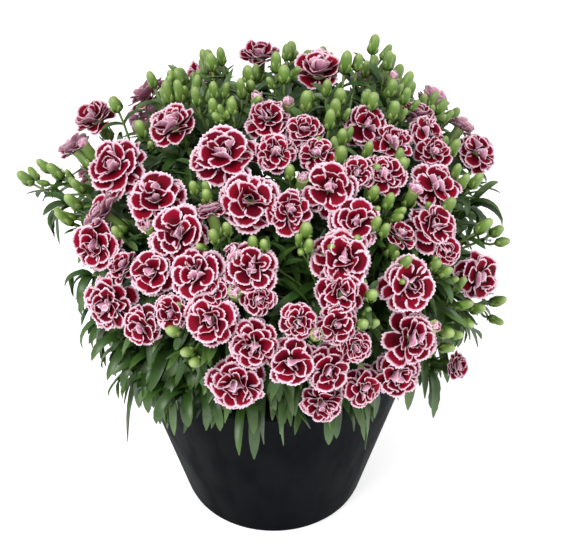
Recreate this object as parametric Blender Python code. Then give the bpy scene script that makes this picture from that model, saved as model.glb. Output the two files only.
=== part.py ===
# A dianthus in full flower, growing in a black plastic nursery pot.
# The pot stands on its flat base at the origin, +Z up, and the side that is seen most faces -Y.
# Leafy stems stand in holes in the soil. Each ends in flower stalks with green buds and calyces,
# and the red flower heads sit on the calyces, two or three together where their petals interlock.

import functools
import math
import random

import bpy
from mathutils import Matrix, Quaternion, Vector
from mathutils.bvhtree import BVHTree

# Pot: a standard 230 mm nursery container
RIM_RADIUS = 0.115
POT_HEIGHT = 0.170
BASE_RADIUS = 0.0675
POT_WALL = 0.0018
BASE_THICKNESS = 0.0025
LIP_HEIGHT = 0.009
LIP_WIDTH = 0.0035
POT_SIDES = 32
DRAIN_COUNT = 3
DRAIN_RADIUS = 0.006
DRAIN_RING = 0.045
DRAIN_REACH = (-0.002, 0.006)
FOOT_BEVEL = 0.003
LIP_BEVEL = 0.001
FIT_GAP = 0.0003
SHARP_ANGLE = math.radians(35)

# Soil: level at the wall, a little higher towards the middle
SOIL_TOP = 0.152
SOIL_SIDES = 16
SOIL_SHOULDER = (0.069, 0.004)
SOIL_CROWN = 0.005
STEM_HOLE_DEPTH = 0.022
STEM_HOLE_WIDER = 1.25
STEM_HOLE_ABOVE = 0.020

# Dome on which the flower heads lie
DOME_CENTRE = Vector((0.006, 0.0, 0.2375))
DOME_RADIUS = 0.150
DOME_RISE = 0.100

# The line of sight along which places on the dome are given, in pixels of a 570 by 554 frame
VIEW_CENTRE = (285, 277)
VIEW_FOCAL = 1876.0
VIEW_DISTANCE = 1.33
VIEW_TILT = math.radians(40)
VIEW_TARGET = Vector((0.0085, 0.0, 0.193))
PIXEL = VIEW_DISTANCE / VIEW_FOCAL

# Flower heads that face the front: x, y and width in pixels of that frame
HEADS_IN_VIEW = (
    (260, 56, 42), (95, 119, 45), (75, 148, 36), (115, 167, 60), (174, 126, 50),
    (224, 155, 62), (156, 199, 56), (179, 234, 55), (103, 214, 42), (97, 246, 53),
    (249, 201, 56), (211, 211, 28), (268, 119, 44), (305, 130, 38), (318, 154, 36),
    (276, 152, 38), (152, 272, 46), (124, 267, 34), (197, 274, 50), (252, 269, 48),
    (290, 211, 42), (319, 71, 52), (366, 125, 44), (393, 144, 42), (433, 100, 34),
    (416, 116, 38), (427, 134, 40), (434, 153, 36), (478, 152, 44), (461, 127, 28),
    (329, 187, 52), (384, 174, 42), (357, 173, 32), (436, 186, 52), (356, 222, 46),
    (401, 236, 30), (434, 226, 50), (446, 250, 28), (343, 259, 56), (341, 294, 44),
    (409, 285, 52), (478, 277, 48), (109, 304, 54), (142, 327, 38), (171, 313, 34),
    (211, 319, 50), (258, 299, 32), (254, 345, 46), (236, 384, 54), (299, 322, 34),
    (291, 362, 48), (337, 324, 38), (354, 346, 32), (411, 339, 54), (328, 370, 44),
    (322, 403, 40), (363, 388, 38), (396, 374, 50), (456, 366, 28), (215, 291, 30),
)
# Green buds that show from the front: x and y in pixels of that frame
BUDS_IN_VIEW = (
    (115, 104), (152, 80), (168, 92), (179, 91), (211, 62), (221, 56), (196, 96), (214, 90),
    (213, 106), (232, 106), (241, 88), (141, 129), (25, 178), (44, 166), (55, 171), (78, 186),
    (73, 202), (64, 218), (117, 232), (194, 188), (207, 196), (227, 229), (214, 236),
    (253, 243), (264, 245), (248, 74), (276, 62), (284, 74), (374, 44), (388, 60), (346, 62),
    (358, 62), (392, 88), (406, 96), (394, 110), (373, 101), (340, 96), (327, 88), (306, 101),
    (335, 108), (330, 119), (342, 137), (341, 155), (368, 150), (402, 165), (454, 148),
    (290, 172), (374, 193), (389, 201), (449, 205), (476, 181), (463, 182), (484, 226),
    (497, 231), (309, 246), (306, 230), (376, 224), (385, 230), (406, 262), (436, 265),
    (446, 272), (173, 331), (187, 352), (195, 362), (372, 295), (363, 324), (464, 305),
    (498, 301), (478, 309), (447, 333), (447, 348), (148, 224), (235, 254), (259, 100),
    (289, 104), (233, 292), (418, 188), (303, 177), (316, 331), (436, 326), (394, 76),
)
HEAD_FILL = 0.98
LEAN = 0.24
LEAN_TO_VIEW = 0.35
LOWEST_FACING = 0.12

# Flower heads and buds on the far side, spread by the golden angle over what faces away from the eye
BACK_HEAD_WIDTH = (0.030, 0.038)
BACK_HEAD_WIDTHS = 7
BACK_HEAD_TRIES = 260
BACK_LEVELS = (-0.55, 0.95)
BACK_FACING = 0.2
BACK_FROM = 0.25
BACK_SPACING = 0.0375
GOLDEN_ANGLE = math.pi * (3 - math.sqrt(5))
BUD_LIFT = 1.05
BACK_BUDS = 6
BACK_BUD_TURN = (0.15 * math.pi, 0.85 * math.pi)
BACK_BUD_LEVEL = (-0.3, 0.75)

# Flower head, as shares of its radius: foot, three layers of petals and the waists between them
HEAD_FOOT = 0.30
FOOT_WIDTH = 0.20
NOTCH = 0.80
PETAL_CORNERS = (0.3, 0.72)
LAYERS = (
    # petals, points on each, reach, height, wave, turn
    (5, 3, 1.00, 0.00, 0.07, 0.0),
    (5, 2, 0.78, 0.30, 0.06, 0.5),
    (3, 2, 0.50, 0.58, 0.03, 1.1),
)
WAISTS = ((4, 0.42, 0.13), (3, 0.26, 0.38))
HEART = 0.48
PETAL_GROWTH = (0.92, 1.06)

# Bunches: neighbouring heads whose distance is under BUNCH_REACH of their two radii are joined.
# Heads of one bunch settle between the two shares of IN_BUNCH, and others stay OUT_OF_BUNCH apart.
BUNCH_REACH = 1.9
IN_BUNCH = (0.82, 0.93)
OUT_OF_BUNCH = 1.02
SETTLE_STEPS = 150
SETTLE_PUSH = 0.22
SETTLE_HOME = 0.02
CLOSING_STEP = 0.05
INTERLOCK = 0.07
SMALLER = 0.04
SMALLEST_STEP = 16
CLEARANCE = 1.02

# Calyx, bud, stalk and stem
CALYX_LENGTH = 0.017
CALYX_RADIUS = 0.0042
CALYX_FULLEST = 0.5
CALYX_MOUTH = 0.95
BUD_UPRIGHT = 0.55
BUD_LENGTH = (0.013, 0.017)
BUD_RADIUS = (0.0042, 0.0052)
BUD_FULLEST = 0.42
STALK_RADIUS = 0.0011
STALK_PLACES = (0.25, 0.98)
ROOTS_TRIED = 12
ROOTS_KEPT = 70
LOW_ROOT_COST = 0.02
SIZES_TRIED = (1.0, 0.8, 0.62)

# Main stems in two rings: number of stems, radius of the ring and where it starts
STEM_RINGS = ((5, 0.034, 0.3), (9, 0.082, 0.1))
STEM_RADIUS = 0.0022
STEM_FREE = 0.006
STEM_BEND = 0.58
STEM_SPREAD = 1.25
STEM_TOP = 0.072
STEM_FALL = 0.75

# Leaves
LEAF_LENGTH = (0.040, 0.060)
LEAF_WIDTH = (0.0060, 0.0085)
LEAF_OUTLINE = (0.62, 1.15, 1.05)
LEAF_PLACES = (0.12, 0.97)
LEAF_STEEPNESS = (0.5, 1.3)
LEAF_DROOP = (0.3, 1.1)
LEAF_TRIES = 60
LEAVES_ON_STEM = 5
LEAF_KEEL = 0.0012
LEAF_SEAT = 0.0008

# Long leaves over the rim: how far each stays inside it, clears it, reaches out and hangs down
SKIRT_LEAVES = 22
SKIRT_TRIES = 12
SKIRT_UNEVEN = 0.4
SKIRT_SHIFT = 0.12
SKIRT_PLACES = (0.05, 0.5)
SKIRT_INSIDE = 0.012
SKIRT_ARCH = (0.008, 0.022)
SKIRT_SETTLED = 0.75
SKIRT_REACH = (0.010, 0.026)
SKIRT_TIP_OUT = 0.010
SKIRT_DROP = (0.000, 0.048)
SKIRT_WIDER = 1.1

GREEN = (0.075, 0.19, 0.035, 1.0)
RED = (0.40, 0.012, 0.035, 1.0)
BLACK = (0.012, 0.013, 0.015, 1.0)
EARTH = (0.035, 0.022, 0.014, 1.0)

chance = random.Random(7)


def material(name, colour, roughness):
    made = bpy.data.materials.new(name)
    made.use_nodes = True
    shader = made.node_tree.nodes["Principled BSDF"]
    shader.inputs["Base Color"].default_value = colour
    shader.inputs["Roughness"].default_value = roughness
    shader.inputs["Metallic"].default_value = 0.0
    return made


# Solids as points and faces


def capped_tube(rings):
    """A closed skin over rings of points; a ring of one point is a tip."""
    points, faces, starts = [], [], []
    for ring in rings:
        starts.append(len(points))
        points.extend(ring)
    for k in range(len(rings) - 1):
        faces.extend(zip_rings(starts[k], len(rings[k]), starts[k + 1], len(rings[k + 1])))
    for k, turned in ((0, True), (len(rings) - 1, False)):
        ring = [starts[k] + i for i in range(len(rings[k]))]
        if len(ring) > 2:
            faces.append(tuple(reversed(ring)) if turned else tuple(ring))
    return points, faces


def zip_rings(a, count_a, b, count_b):
    """Triangles between two closed rings with different numbers of points."""
    if count_a == 1:
        return [(a, b + (i + 1) % count_b, b + i) for i in range(count_b)]
    if count_b == 1:
        return [(a + i, a + (i + 1) % count_a, b) for i in range(count_a)]
    faces, i, j = [], 0, 0
    while i < count_a or j < count_b:
        if j >= count_b or (i < count_a and (i + 1) / count_a <= (j + 1) / count_b):
            faces.append((a + i % count_a, a + (i + 1) % count_a, b + j % count_b))
            i += 1
        else:
            faces.append((a + i % count_a, b + (j + 1) % count_b, b + j % count_b))
            j += 1
    return faces


def axes_across(axis):
    """Two unit vectors square to axis and to each other."""
    helper = Vector((0, 0, 1)) if abs(axis.z) < 0.9 else Vector((1, 0, 0))
    side = axis.cross(helper).normalized()
    return side, axis.cross(side).normalized()


def ring_about(centre, axis, radius, sides, turn=0.0):
    side, other = axes_across(axis)
    return [
        centre
        + side * (radius * math.cos(turn + 2 * math.pi * i / sides))
        + other * (radius * math.sin(turn + 2 * math.pi * i / sides))
        for i in range(sides)
    ]


def tube_solid(path, radii, sides):
    """A tube along path, with a radius and a number of sides at each point; no sides make a tip."""
    rings = []
    for k, point in enumerate(path):
        ahead = (path[min(k + 1, len(path) - 1)] - path[max(k - 1, 0)]).normalized()
        rings.append(ring_about(point, ahead, radii[k], sides[k]) if sides[k] else [point])
    # each ring is turned to follow the one before it, so that the skin doesn't twist
    for k in range(1, len(rings)):
        turns = range(len(rings[k]))
        start = min(turns, key=lambda t: (rings[k][t] - path[k] - rings[k - 1][0] + path[k - 1]).length)
        rings[k] = rings[k][start:] + rings[k][:start]
    return outward(*capped_tube(rings))


def blade_solid(path, across, width):
    """A narrow leaf: flat above, keeled below, widest a third of the way along, pointed at the tip."""
    rings = []
    count = len(path)
    for k in range(count - 1):
        ahead = (path[k + 1] - path[max(k - 1, 0)]).normalized()
        side = (across - ahead * across.dot(ahead)).normalized()
        below = side.cross(ahead).normalized()
        share = k / (count - 1)
        half = width / 2 * (LEAF_OUTLINE[0] + LEAF_OUTLINE[1] * share - LEAF_OUTLINE[2] * share**3)
        rings.append(
            [path[k] - side * half, path[k] + below * LEAF_KEEL, path[k] + side * half]
        )
    rings.append([path[-1]])
    return outward(*capped_tube(rings))


def outward(points, faces):
    """The same solid with its faces turned out."""
    volume = 0.0
    for face in faces:
        for k in range(1, len(face) - 1):
            volume += points[face[0]].dot(points[face[k]].cross(points[face[k + 1]]))
    return (points, faces) if volume > 0 else (points, [tuple(reversed(f)) for f in faces])


def petal_ring(frame, petals, points, reach, height, wave, turn, luck):
    """The free edge of one layer of petals: each has a notch beside it and one or two broad corners."""
    ring = []
    for i in range(petals):
        grown = reach * luck.uniform(*PETAL_GROWTH)
        lift = luck.uniform(-wave, wave)
        near, far = PETAL_CORNERS
        edge = ((0.0, NOTCH * reach, 0.0), (near, grown, lift), (far, reach, -lift))
        for share, length, up in edge[:points]:
            angle = turn + 2 * math.pi * (i + share) / petals
            ring.append(frame @ Vector((length * math.cos(angle), length * math.sin(angle), height + up)))
    return ring


def waist_ring(frame, radius, height, sides, turn):
    """The narrow ring between two layers of petals."""
    ring = ring_about(Vector((0, 0, height)), Vector((0, 0, 1)), radius, sides, turn)
    return [frame @ point for point in ring]


def head_solid(centre, axis, radius, seed):
    """A double flower head: three layers of broad petals, one above the other, on a narrow foot."""
    luck = random.Random(seed)
    turn = luck.uniform(0, 2 * math.pi)
    frame = Matrix.Translation(centre) @ axis.to_track_quat("Z", "Y").to_matrix().to_4x4()
    layers = [
        petal_ring(frame, petals, points, reach * radius, height * radius, wave * radius, turn + more, luck)
        for petals, points, reach, height, wave, more in LAYERS
    ]
    waists = [
        waist_ring(frame, width * radius, height * radius, sides, turn) for sides, width, height in WAISTS
    ]
    foot = waist_ring(frame, FOOT_WIDTH * radius, -HEAD_FOOT * radius, 4, turn)
    heart = [frame @ Vector((0, 0, HEART * radius))]
    rings = [foot, layers[0], waists[0], layers[1], waists[1], layers[2], heart]
    return rings_sorted(rings, frame)


def rings_sorted(rings, frame):
    """Rings put in the same turning sense and starting angle before they are skinned."""
    back = frame.inverted()

    def angle(point):
        local = back @ point
        return math.atan2(local.y, local.x) % (2 * math.pi)

    ordered = [ring if len(ring) == 1 else sorted(ring, key=angle) for ring in rings]
    return outward(*capped_tube(ordered))


# Tests on solids that are placed one after another


def tree_of(solid):
    return BVHTree.FromPolygons([tuple(p) for p in solid[0]], solid[1])


def crosses(solid, trees):
    own = tree_of(solid)
    return any(own.overlap(tree) for tree in trees)


# Objects


def new_object(name, solid, finish):
    mesh = bpy.data.meshes.new(name)
    mesh.from_pydata([tuple(p) for p in solid[0]], [], solid[1])
    mesh.materials.append(finish)
    made = bpy.data.objects.new(name, mesh)
    bpy.context.scene.collection.objects.link(made)
    return made


def fused(name, solids, finish):
    """One object from solids that overlap, joined by a single Boolean union."""
    base = new_object(name, solids[0], finish)
    if len(solids) == 1:
        return base
    group = bpy.data.collections.new(name + "_pieces")
    bpy.context.scene.collection.children.link(group)
    for solid in solids[1:]:
        piece = new_object(name + "_piece", solid, finish)
        bpy.context.scene.collection.objects.unlink(piece)
        group.objects.link(piece)
    union = base.modifiers.new("union", "BOOLEAN")
    union.operation = "UNION"
    union.operand_type = "COLLECTION"
    union.collection = group
    union.solver = "MANIFOLD"
    bpy.context.view_layer.objects.active = base
    bpy.ops.object.modifier_apply(modifier="union")
    for piece in list(group.objects):
        bpy.data.objects.remove(piece)
    bpy.data.collections.remove(group)
    return base


# Places on the dome


def eye_place():
    """Where the eye is that sees the side that faces the front."""
    return VIEW_TARGET - Vector((0, math.cos(VIEW_TILT), -math.sin(VIEW_TILT))) * VIEW_DISTANCE


def on_shell(flat, lift):
    """The point of the dome, grown by lift, in a direction given on the unit ball."""
    return DOME_CENTRE + Vector((flat.x * DOME_RADIUS, flat.y * DOME_RADIUS, flat.z * DOME_RISE)) * lift


def on_dome(x_px, y_px, lift=1.0):
    """The point of the dome, grown by lift, on the line of sight through a pixel, and its outward normal."""
    forward = Vector((0, math.cos(VIEW_TILT), -math.sin(VIEW_TILT)))
    up = Vector((0, math.sin(VIEW_TILT), math.cos(VIEW_TILT)))
    eye = eye_place()
    ray = forward * VIEW_FOCAL + Vector((1, 0, 0)) * (x_px - VIEW_CENTRE[0]) + up * (VIEW_CENTRE[1] - y_px)
    size = Vector((DOME_RADIUS, DOME_RADIUS, DOME_RISE)) * lift
    start = Vector([(eye - DOME_CENTRE)[i] / size[i] for i in range(3)])
    along = Vector([ray[i] / size[i] for i in range(3)])
    middle = -start.dot(along) / along.dot(along)
    depth = middle * middle - (start.dot(start) - 1) / along.dot(along)
    if depth >= 0:
        flat = start + along * (middle - math.sqrt(depth))
        point = DOME_CENTRE + Vector([flat[i] * size[i] for i in range(3)])
    else:
        flat = start + along * middle
        point = eye + ray * middle
    normal = Vector([flat[i] / size[i] for i in range(3)]).normalized()
    return point, facing(normal)


def facing(normal):
    """A head on the skirt of the dome looks outwards and a little up, never down."""
    return Vector((normal.x, normal.y, max(normal.z, LOWEST_FACING))).normalized()


def leaned(point, normal, number):
    """The way head number faces: outwards, a little to the viewed side, and a little askew."""
    luck = random.Random(number)
    askew = Vector([luck.uniform(-LEAN, LEAN) for _ in range(3)])
    to_eye = (eye_place() - point).normalized() if number < len(HEADS_IN_VIEW) else Vector((0, 0, 0))
    return facing(normal + askew + to_eye * LEAN_TO_VIEW)


def heads():
    """Place, facing and radius of every flower head, front and back."""
    placed = []
    for x, y, across in HEADS_IN_VIEW:
        point, normal = on_dome(x, y)
        placed.append([point, leaned(point, normal, len(placed)), across * PIXEL / 2 * HEAD_FILL])
    for k in range(BACK_HEAD_TRIES):
        level = between(BACK_LEVELS, (k + 0.5) / BACK_HEAD_TRIES)
        ring = math.sqrt(1 - level * level)
        flat = Vector((ring * math.cos(GOLDEN_ANGLE * k), ring * math.sin(GOLDEN_ANGLE * k), level))
        point = on_shell(flat, 1.0)
        normal = Vector((flat.x / DOME_RADIUS, flat.y / DOME_RADIUS, flat.z / DOME_RISE)).normalized()
        hidden = flat.y > BACK_FROM and normal.dot((eye_place() - point).normalized()) < BACK_FACING
        if hidden and all((point - other[0]).length > BACK_SPACING for other in placed):
            width = between(BACK_HEAD_WIDTH, (k % BACK_HEAD_WIDTHS) / (BACK_HEAD_WIDTHS - 1))
            placed.append([point, leaned(point, normal, len(placed)), width / 2])
    return placed


def between(ends, share):
    """A value a share of the way from the first of two ends to the second."""
    return ends[0] + (ends[1] - ends[0]) * share


def bunches_of(placed):
    """Heads gathered in twos and threes with their nearest neighbours."""
    near = sorted(
        ((a[0] - b[0]).length / (a[2] + b[2]), i, j)
        for i, a in enumerate(placed)
        for j, b in enumerate(placed)
        if i < j
    )
    bunch_of = {}
    for share, i, j in near:
        if share < BUNCH_REACH and i not in bunch_of and j not in bunch_of:
            bunch_of[i] = bunch_of[j] = [i, j]
    for share, i, j in near:
        for single, other in ((i, j), (j, i)):
            if share < BUNCH_REACH and single not in bunch_of and len(bunch_of.get(other, "full")) < 3:
                bunch_of[other].insert(0 if bunch_of[other][0] != other else 3, single)
                bunch_of[single] = bunch_of[other]
    for i in range(len(placed)):
        bunch_of.setdefault(i, [i])
    found = []
    for i in range(len(placed)):
        if bunch_of[i] not in found:
            found.append(bunch_of[i])
    return found


def settle(placed, bunches):
    """Heads of one bunch drawn together until their petals interlock, and the others eased apart."""
    bunch_of = {i: n for n, bunch in enumerate(bunches) for i in bunch}
    home = [head[0].copy() for head in placed]
    for _ in range(SETTLE_STEPS):
        for i, a in enumerate(placed):
            for j in range(i + 1, len(placed)):
                b = placed[j]
                apart, room = b[0] - a[0], a[2] + b[2]
                together = bunch_of[i] == bunch_of[j]
                low, high = IN_BUNCH if together else (OUT_OF_BUNCH, math.inf)
                share = apart.length / room
                if not low <= share <= high:
                    wanted = min(max(share, low), high)
                    push = apart.normalized() * (wanted - share) * room * SETTLE_PUSH
                    a[0] -= push
                    b[0] += push
        for head, place in zip(placed, home):
            head[0] += (place - head[0]) * SETTLE_HOME


def closed_up(bunch, placed, size):
    """One bunch at a share of its size; each head slides to the first until their petals interlock."""
    def made(i):
        return head_solid(placed[i][0], placed[i][1], placed[i][2] * size, i)

    hub = made(bunch[0])
    solids = [hub]
    for i in bunch[1:]:
        target = placed[bunch[0]][0]
        while not crosses(made(i), [tree_of(hub)]):
            placed[i][0] = placed[i][0].lerp(target, CLOSING_STEP)
        placed[i][0] = placed[i][0].lerp(target, INTERLOCK)
        solids.append(made(i))
    return solids


def head_bunches():
    """Solids of every bunch, made smaller where it would reach into one that is already there."""
    placed = heads()
    bunches = bunches_of(placed)
    settle(placed, bunches)
    taken, made = [], []
    for bunch in sorted(bunches, key=len, reverse=True):
        homes = [placed[i][0].copy() for i in bunch]
        for step in range(SMALLEST_STEP):
            for i, home in zip(bunch, homes):
                placed[i][0] = home.copy()
            size = 1 - SMALLER * step
            solids = closed_up(bunch, placed, size)
            grown = [
                head_solid(placed[i][0], placed[i][1], placed[i][2] * size * CLEARANCE, i) for i in bunch
            ]
            if not any(crosses(solid, taken) for solid in grown):
                break
        for i in bunch:
            placed[i][2] *= size
        made.append(solids)
        taken.extend(tree_of(solid) for solid in solids)
    return placed, made, taken


# Pot and soil


def wall_radius(height):
    """The pot's outer radius at a height."""
    return BASE_RADIUS + (RIM_RADIUS - LIP_WIDTH - BASE_RADIUS) * height / POT_HEIGHT


def turned(profile, sides):
    """A solid turned about Z from its outline, which starts and ends on the axis."""
    rings = []
    for radius, height in profile:
        turns = [2 * math.pi * i / sides for i in range(sides if radius else 1)]
        rings.append([Vector((radius * math.cos(turn), radius * math.sin(turn), height)) for turn in turns])
    return outward(*capped_tube(rings))


def cut(target, cutter_solids):
    """Cuts each solid out of target, and removes the cutters."""
    for solid in cutter_solids:
        cutter = new_object("cutter", solid, target.data.materials[0])
        hole = target.modifiers.new("hole", "BOOLEAN")
        hole.operation = "DIFFERENCE"
        hole.object = cutter
        bpy.context.view_layer.objects.active = target
        bpy.ops.object.modifier_apply(modifier="hole")
        bpy.data.objects.remove(cutter)


def make_pot(finish):
    """A tapered pot with a rolled lip outside its rim and drain holes in its floor."""
    lip_foot = POT_HEIGHT - LIP_HEIGHT
    profile = [
        (0, 0),
        (BASE_RADIUS - FOOT_BEVEL, 0),
        (BASE_RADIUS, FOOT_BEVEL),
        (wall_radius(lip_foot), lip_foot),
        (wall_radius(lip_foot) + LIP_WIDTH, lip_foot),
        (RIM_RADIUS, POT_HEIGHT - LIP_BEVEL),
        (RIM_RADIUS - LIP_BEVEL, POT_HEIGHT),
        (wall_radius(POT_HEIGHT) - POT_WALL, POT_HEIGHT),
        (wall_radius(BASE_THICKNESS) - POT_WALL, BASE_THICKNESS),
        (0, BASE_THICKNESS),
    ]
    pot = new_object("pot", turned(profile, POT_SIDES), finish)
    drains = []
    for k in range(DRAIN_COUNT):
        angle = 2 * math.pi * (k + 0.5) / DRAIN_COUNT
        x, y = DRAIN_RING * math.cos(angle), DRAIN_RING * math.sin(angle)
        ends = [Vector((x, y, height)) for height in DRAIN_REACH]
        drains.append(tube_solid(ends, [DRAIN_RADIUS] * 2, [5, 5]))
    cut(pot, drains)
    pot.data.shade_smooth()
    pot.data.set_sharp_from_angle(angle=SHARP_ANGLE)
    return pot


def make_soil(finish, feet):
    """The soil that fills the pot, with a hole for each main stem."""
    floor = BASE_THICKNESS + FIT_GAP
    clear = POT_WALL + FIT_GAP
    profile = [
        (0, floor),
        (wall_radius(floor) - clear, floor),
        (wall_radius(SOIL_TOP) - clear, SOIL_TOP),
        (SOIL_SHOULDER[0], SOIL_TOP + SOIL_SHOULDER[1]),
        (0, SOIL_TOP + SOIL_CROWN),
    ]
    soil = new_object("soil", turned(profile, SOIL_SIDES), finish)
    wide = STEM_RADIUS * STEM_HOLE_WIDER + FIT_GAP * 2
    holes = []
    for foot in feet:
        low = foot - Vector((0, 0, FIT_GAP))
        high = low + Vector((0, 0, STEM_HOLE_DEPTH + STEM_HOLE_ABOVE))
        holes.append(tube_solid([low, high], [wide, wide], [5, 5]))
    cut(soil, holes)
    return soil


# Stems, stalks and leaves


def stem_feet():
    """Where each main stem ends in the soil, the inner ring first."""
    height = SOIL_TOP + SOIL_SHOULDER[1] - STEM_HOLE_DEPTH
    feet = []
    for count, ring, start in STEM_RINGS:
        for k in range(count):
            angle = start + 2 * math.pi * k / count
            feet.append(Vector((ring * math.cos(angle), ring * math.sin(angle), height)))
    return feet


def stem_path(foot):
    """A main stem: straight up out of its hole, then leaning outwards with the dome."""
    out = Vector((foot.x, foot.y, 0))
    aim = DOME_CENTRE + out * STEM_SPREAD + Vector((0, 0, STEM_TOP - out.length * STEM_FALL))
    mouth = foot + Vector((0, 0, STEM_HOLE_DEPTH + STEM_FREE))
    return [foot, mouth, mouth.lerp(aim, STEM_BEND), aim]


def calyx_on_stalk(root, head_foot, axis, size):
    """A stalk and the green tube on it: narrow foot, full middle, flat mouth just under the petals."""
    foot = head_foot - axis * CALYX_LENGTH * size
    path = [root, foot, foot + axis * CALYX_LENGTH * size * CALYX_FULLEST, head_foot]
    wide = CALYX_RADIUS * size
    return tube_solid(path, [STALK_RADIUS, STALK_RADIUS, wide, wide * CALYX_MOUTH], [3, 3, 4, 4])


def bud_on_stalk(root, middle, axis, size, length, radius):
    """A stalk and the bud on it, widest below its middle and pointed."""
    foot = middle - axis * length * size * 0.5
    path = [root, foot, foot + axis * length * size * BUD_FULLEST, foot + axis * length * size]
    return tube_solid(path, [STALK_RADIUS, STALK_RADIUS, radius * size, 0.0], [3, 3, 4, 0])


def leaf_path(root, heading, length, droop, steps=2):
    """A leaf leaves along heading and bends down by droop radians towards its tip."""
    path = [root.copy()]
    ahead = heading.normalized()
    down = Vector((0, 0, -1))
    for _ in range(steps):
        path.append(path[-1] + ahead * length / steps)
        axis = ahead.cross(down)
        if axis.length > 0.05:
            ahead = Quaternion(axis.normalized(), droop / steps) @ ahead
    return path


def grow_stalks(ends, spines, trees_other, trees_by_stem, stems):
    """Grows each end (place, axis, maker) from the nearest main stem that it can reach clear of the rest."""
    for place, axis, maker in ends:
        options = []
        for s, spine in enumerate(spines):
            for k in range(ROOTS_TRIED):
                share = between(STALK_PLACES, (k + chance.random()) / ROOTS_TRIED)
                root = along(spine, share)
                if (place - root).dot(axis) > 0:
                    options.append(((place - root).length + LOW_ROOT_COST * (1 - share), s, root))
        options.sort(key=lambda option: option[0])
        nearest = options[:ROOTS_KEPT]
        for size, s, root in [(size, s, root) for size in SIZES_TRIED for _, s, root in nearest]:
            stalk = maker(root, place, axis, size)
            if not crosses(stalk, trees_other + grown_so_far(s, trees_by_stem)):
                stems[s].append(stalk)
                trees_by_stem[s].append(tree_of(stalk))
                break


def grown_so_far(s, trees_by_stem):
    """All that has grown yet, apart from main stem s itself."""
    return [tree for k, trees in trees_by_stem.items() for tree in trees[k == s:]]


def along(spine, share):
    """A point on a main stem above the soil, as a share of the way to its top."""
    return spine[1].lerp(spine[2], share * 2) if share <= 0.5 else spine[2].lerp(spine[3], share * 2 - 1)


def head_ends(placed):
    """Place, direction and maker of the calyx under every flower head."""
    return [
        (point - axis * (HEAD_FOOT * radius + FIT_GAP), axis, calyx_on_stalk)
        for point, axis, radius in placed
    ]


def bud_ends():
    """Place, direction and maker of every bud."""
    places = [on_dome(x, y, BUD_LIFT) for x, y in BUDS_IN_VIEW]
    for _ in range(BACK_BUDS):
        around, level = chance.uniform(*BACK_BUD_TURN), chance.uniform(*BACK_BUD_LEVEL)
        ring = math.sqrt(1 - level * level)
        flat = Vector((ring * math.cos(around), ring * math.sin(around), level))
        places.append((on_shell(flat, BUD_LIFT), facing(flat)))
    ends = []
    for point, normal in places:
        axis = (normal + Vector((0, 0, BUD_UPRIGHT))).normalized()
        length, radius = chance.uniform(*BUD_LENGTH), chance.uniform(*BUD_RADIUS)
        ends.append((point, axis, functools.partial(bud_on_stalk, length=length, radius=radius)))
    return ends


def grow_leaves(spines, trees_other, trees_by_stem, stems):
    """Opposite pairs of narrow leaves up each main stem, each where it is clear of all else."""
    for s, spine in enumerate(spines):
        up = (spine[3] - spine[1]).normalized()
        side, other = axes_across(up)
        grown = 0
        for _ in range(LEAF_TRIES):
            root = along(spine, chance.uniform(*LEAF_PLACES))
            turn = chance.uniform(0, 2 * math.pi)
            steep, droop = chance.uniform(*LEAF_STEEPNESS), chance.uniform(*LEAF_DROOP)
            length, width = chance.uniform(*LEAF_LENGTH), chance.uniform(*LEAF_WIDTH)
            for half in (0, math.pi):
                out = side * math.cos(turn + half) + other * math.sin(turn + half)
                heading = (out + up * steep).normalized()
                path = leaf_path(root + out * LEAF_SEAT, heading, length, droop)
                blade = blade_solid(path, heading.cross(up), width)
                if not crosses(blade, trees_other + grown_so_far(s, trees_by_stem)):
                    stems[s].append(blade)
                    trees_by_stem[s].append(tree_of(blade))
                    grown += 1
            if grown >= LEAVES_ON_STEM:
                break


def grow_skirt(spines, trees_other, trees_by_stem, stems):
    """Long low leaves that rise from the outer stems and arch over the rim, some hanging outside the pot."""
    outer = range(STEM_RINGS[0][0], len(spines))
    for k in range(SKIRT_LEAVES):
        angle = 2 * math.pi * (k + chance.uniform(-SKIRT_UNEVEN, SKIRT_UNEVEN)) / SKIRT_LEAVES
        for _ in range(SKIRT_TRIES):
            out = Vector((math.cos(angle), math.sin(angle), 0))
            s = max(outer, key=lambda n: spines[n][0].xy.normalized().dot(out.xy))
            root = along(spines[s], chance.uniform(*SKIRT_PLACES))
            over = chance.uniform(*SKIRT_ARCH)
            reach = RIM_RADIUS + chance.uniform(*SKIRT_REACH)
            tip = POT_HEIGHT - chance.uniform(*SKIRT_DROP)
            path = [
                root,
                out * (RIM_RADIUS - SKIRT_INSIDE) + Vector((0, 0, POT_HEIGHT + over)),
                out * reach + Vector((0, 0, POT_HEIGHT + over * SKIRT_SETTLED)),
                out * (reach + SKIRT_TIP_OUT) + Vector((0, 0, tip)),
            ]
            width = chance.uniform(*LEAF_WIDTH) * SKIRT_WIDER
            blade = blade_solid(path, Vector((-out.y, out.x, 0)), width)
            if not crosses(blade, trees_other + grown_so_far(s, trees_by_stem)):
                stems[s].append(blade)
                trees_by_stem[s].append(tree_of(blade))
                break
            angle += chance.uniform(-SKIRT_SHIFT, SKIRT_SHIFT)


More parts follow.
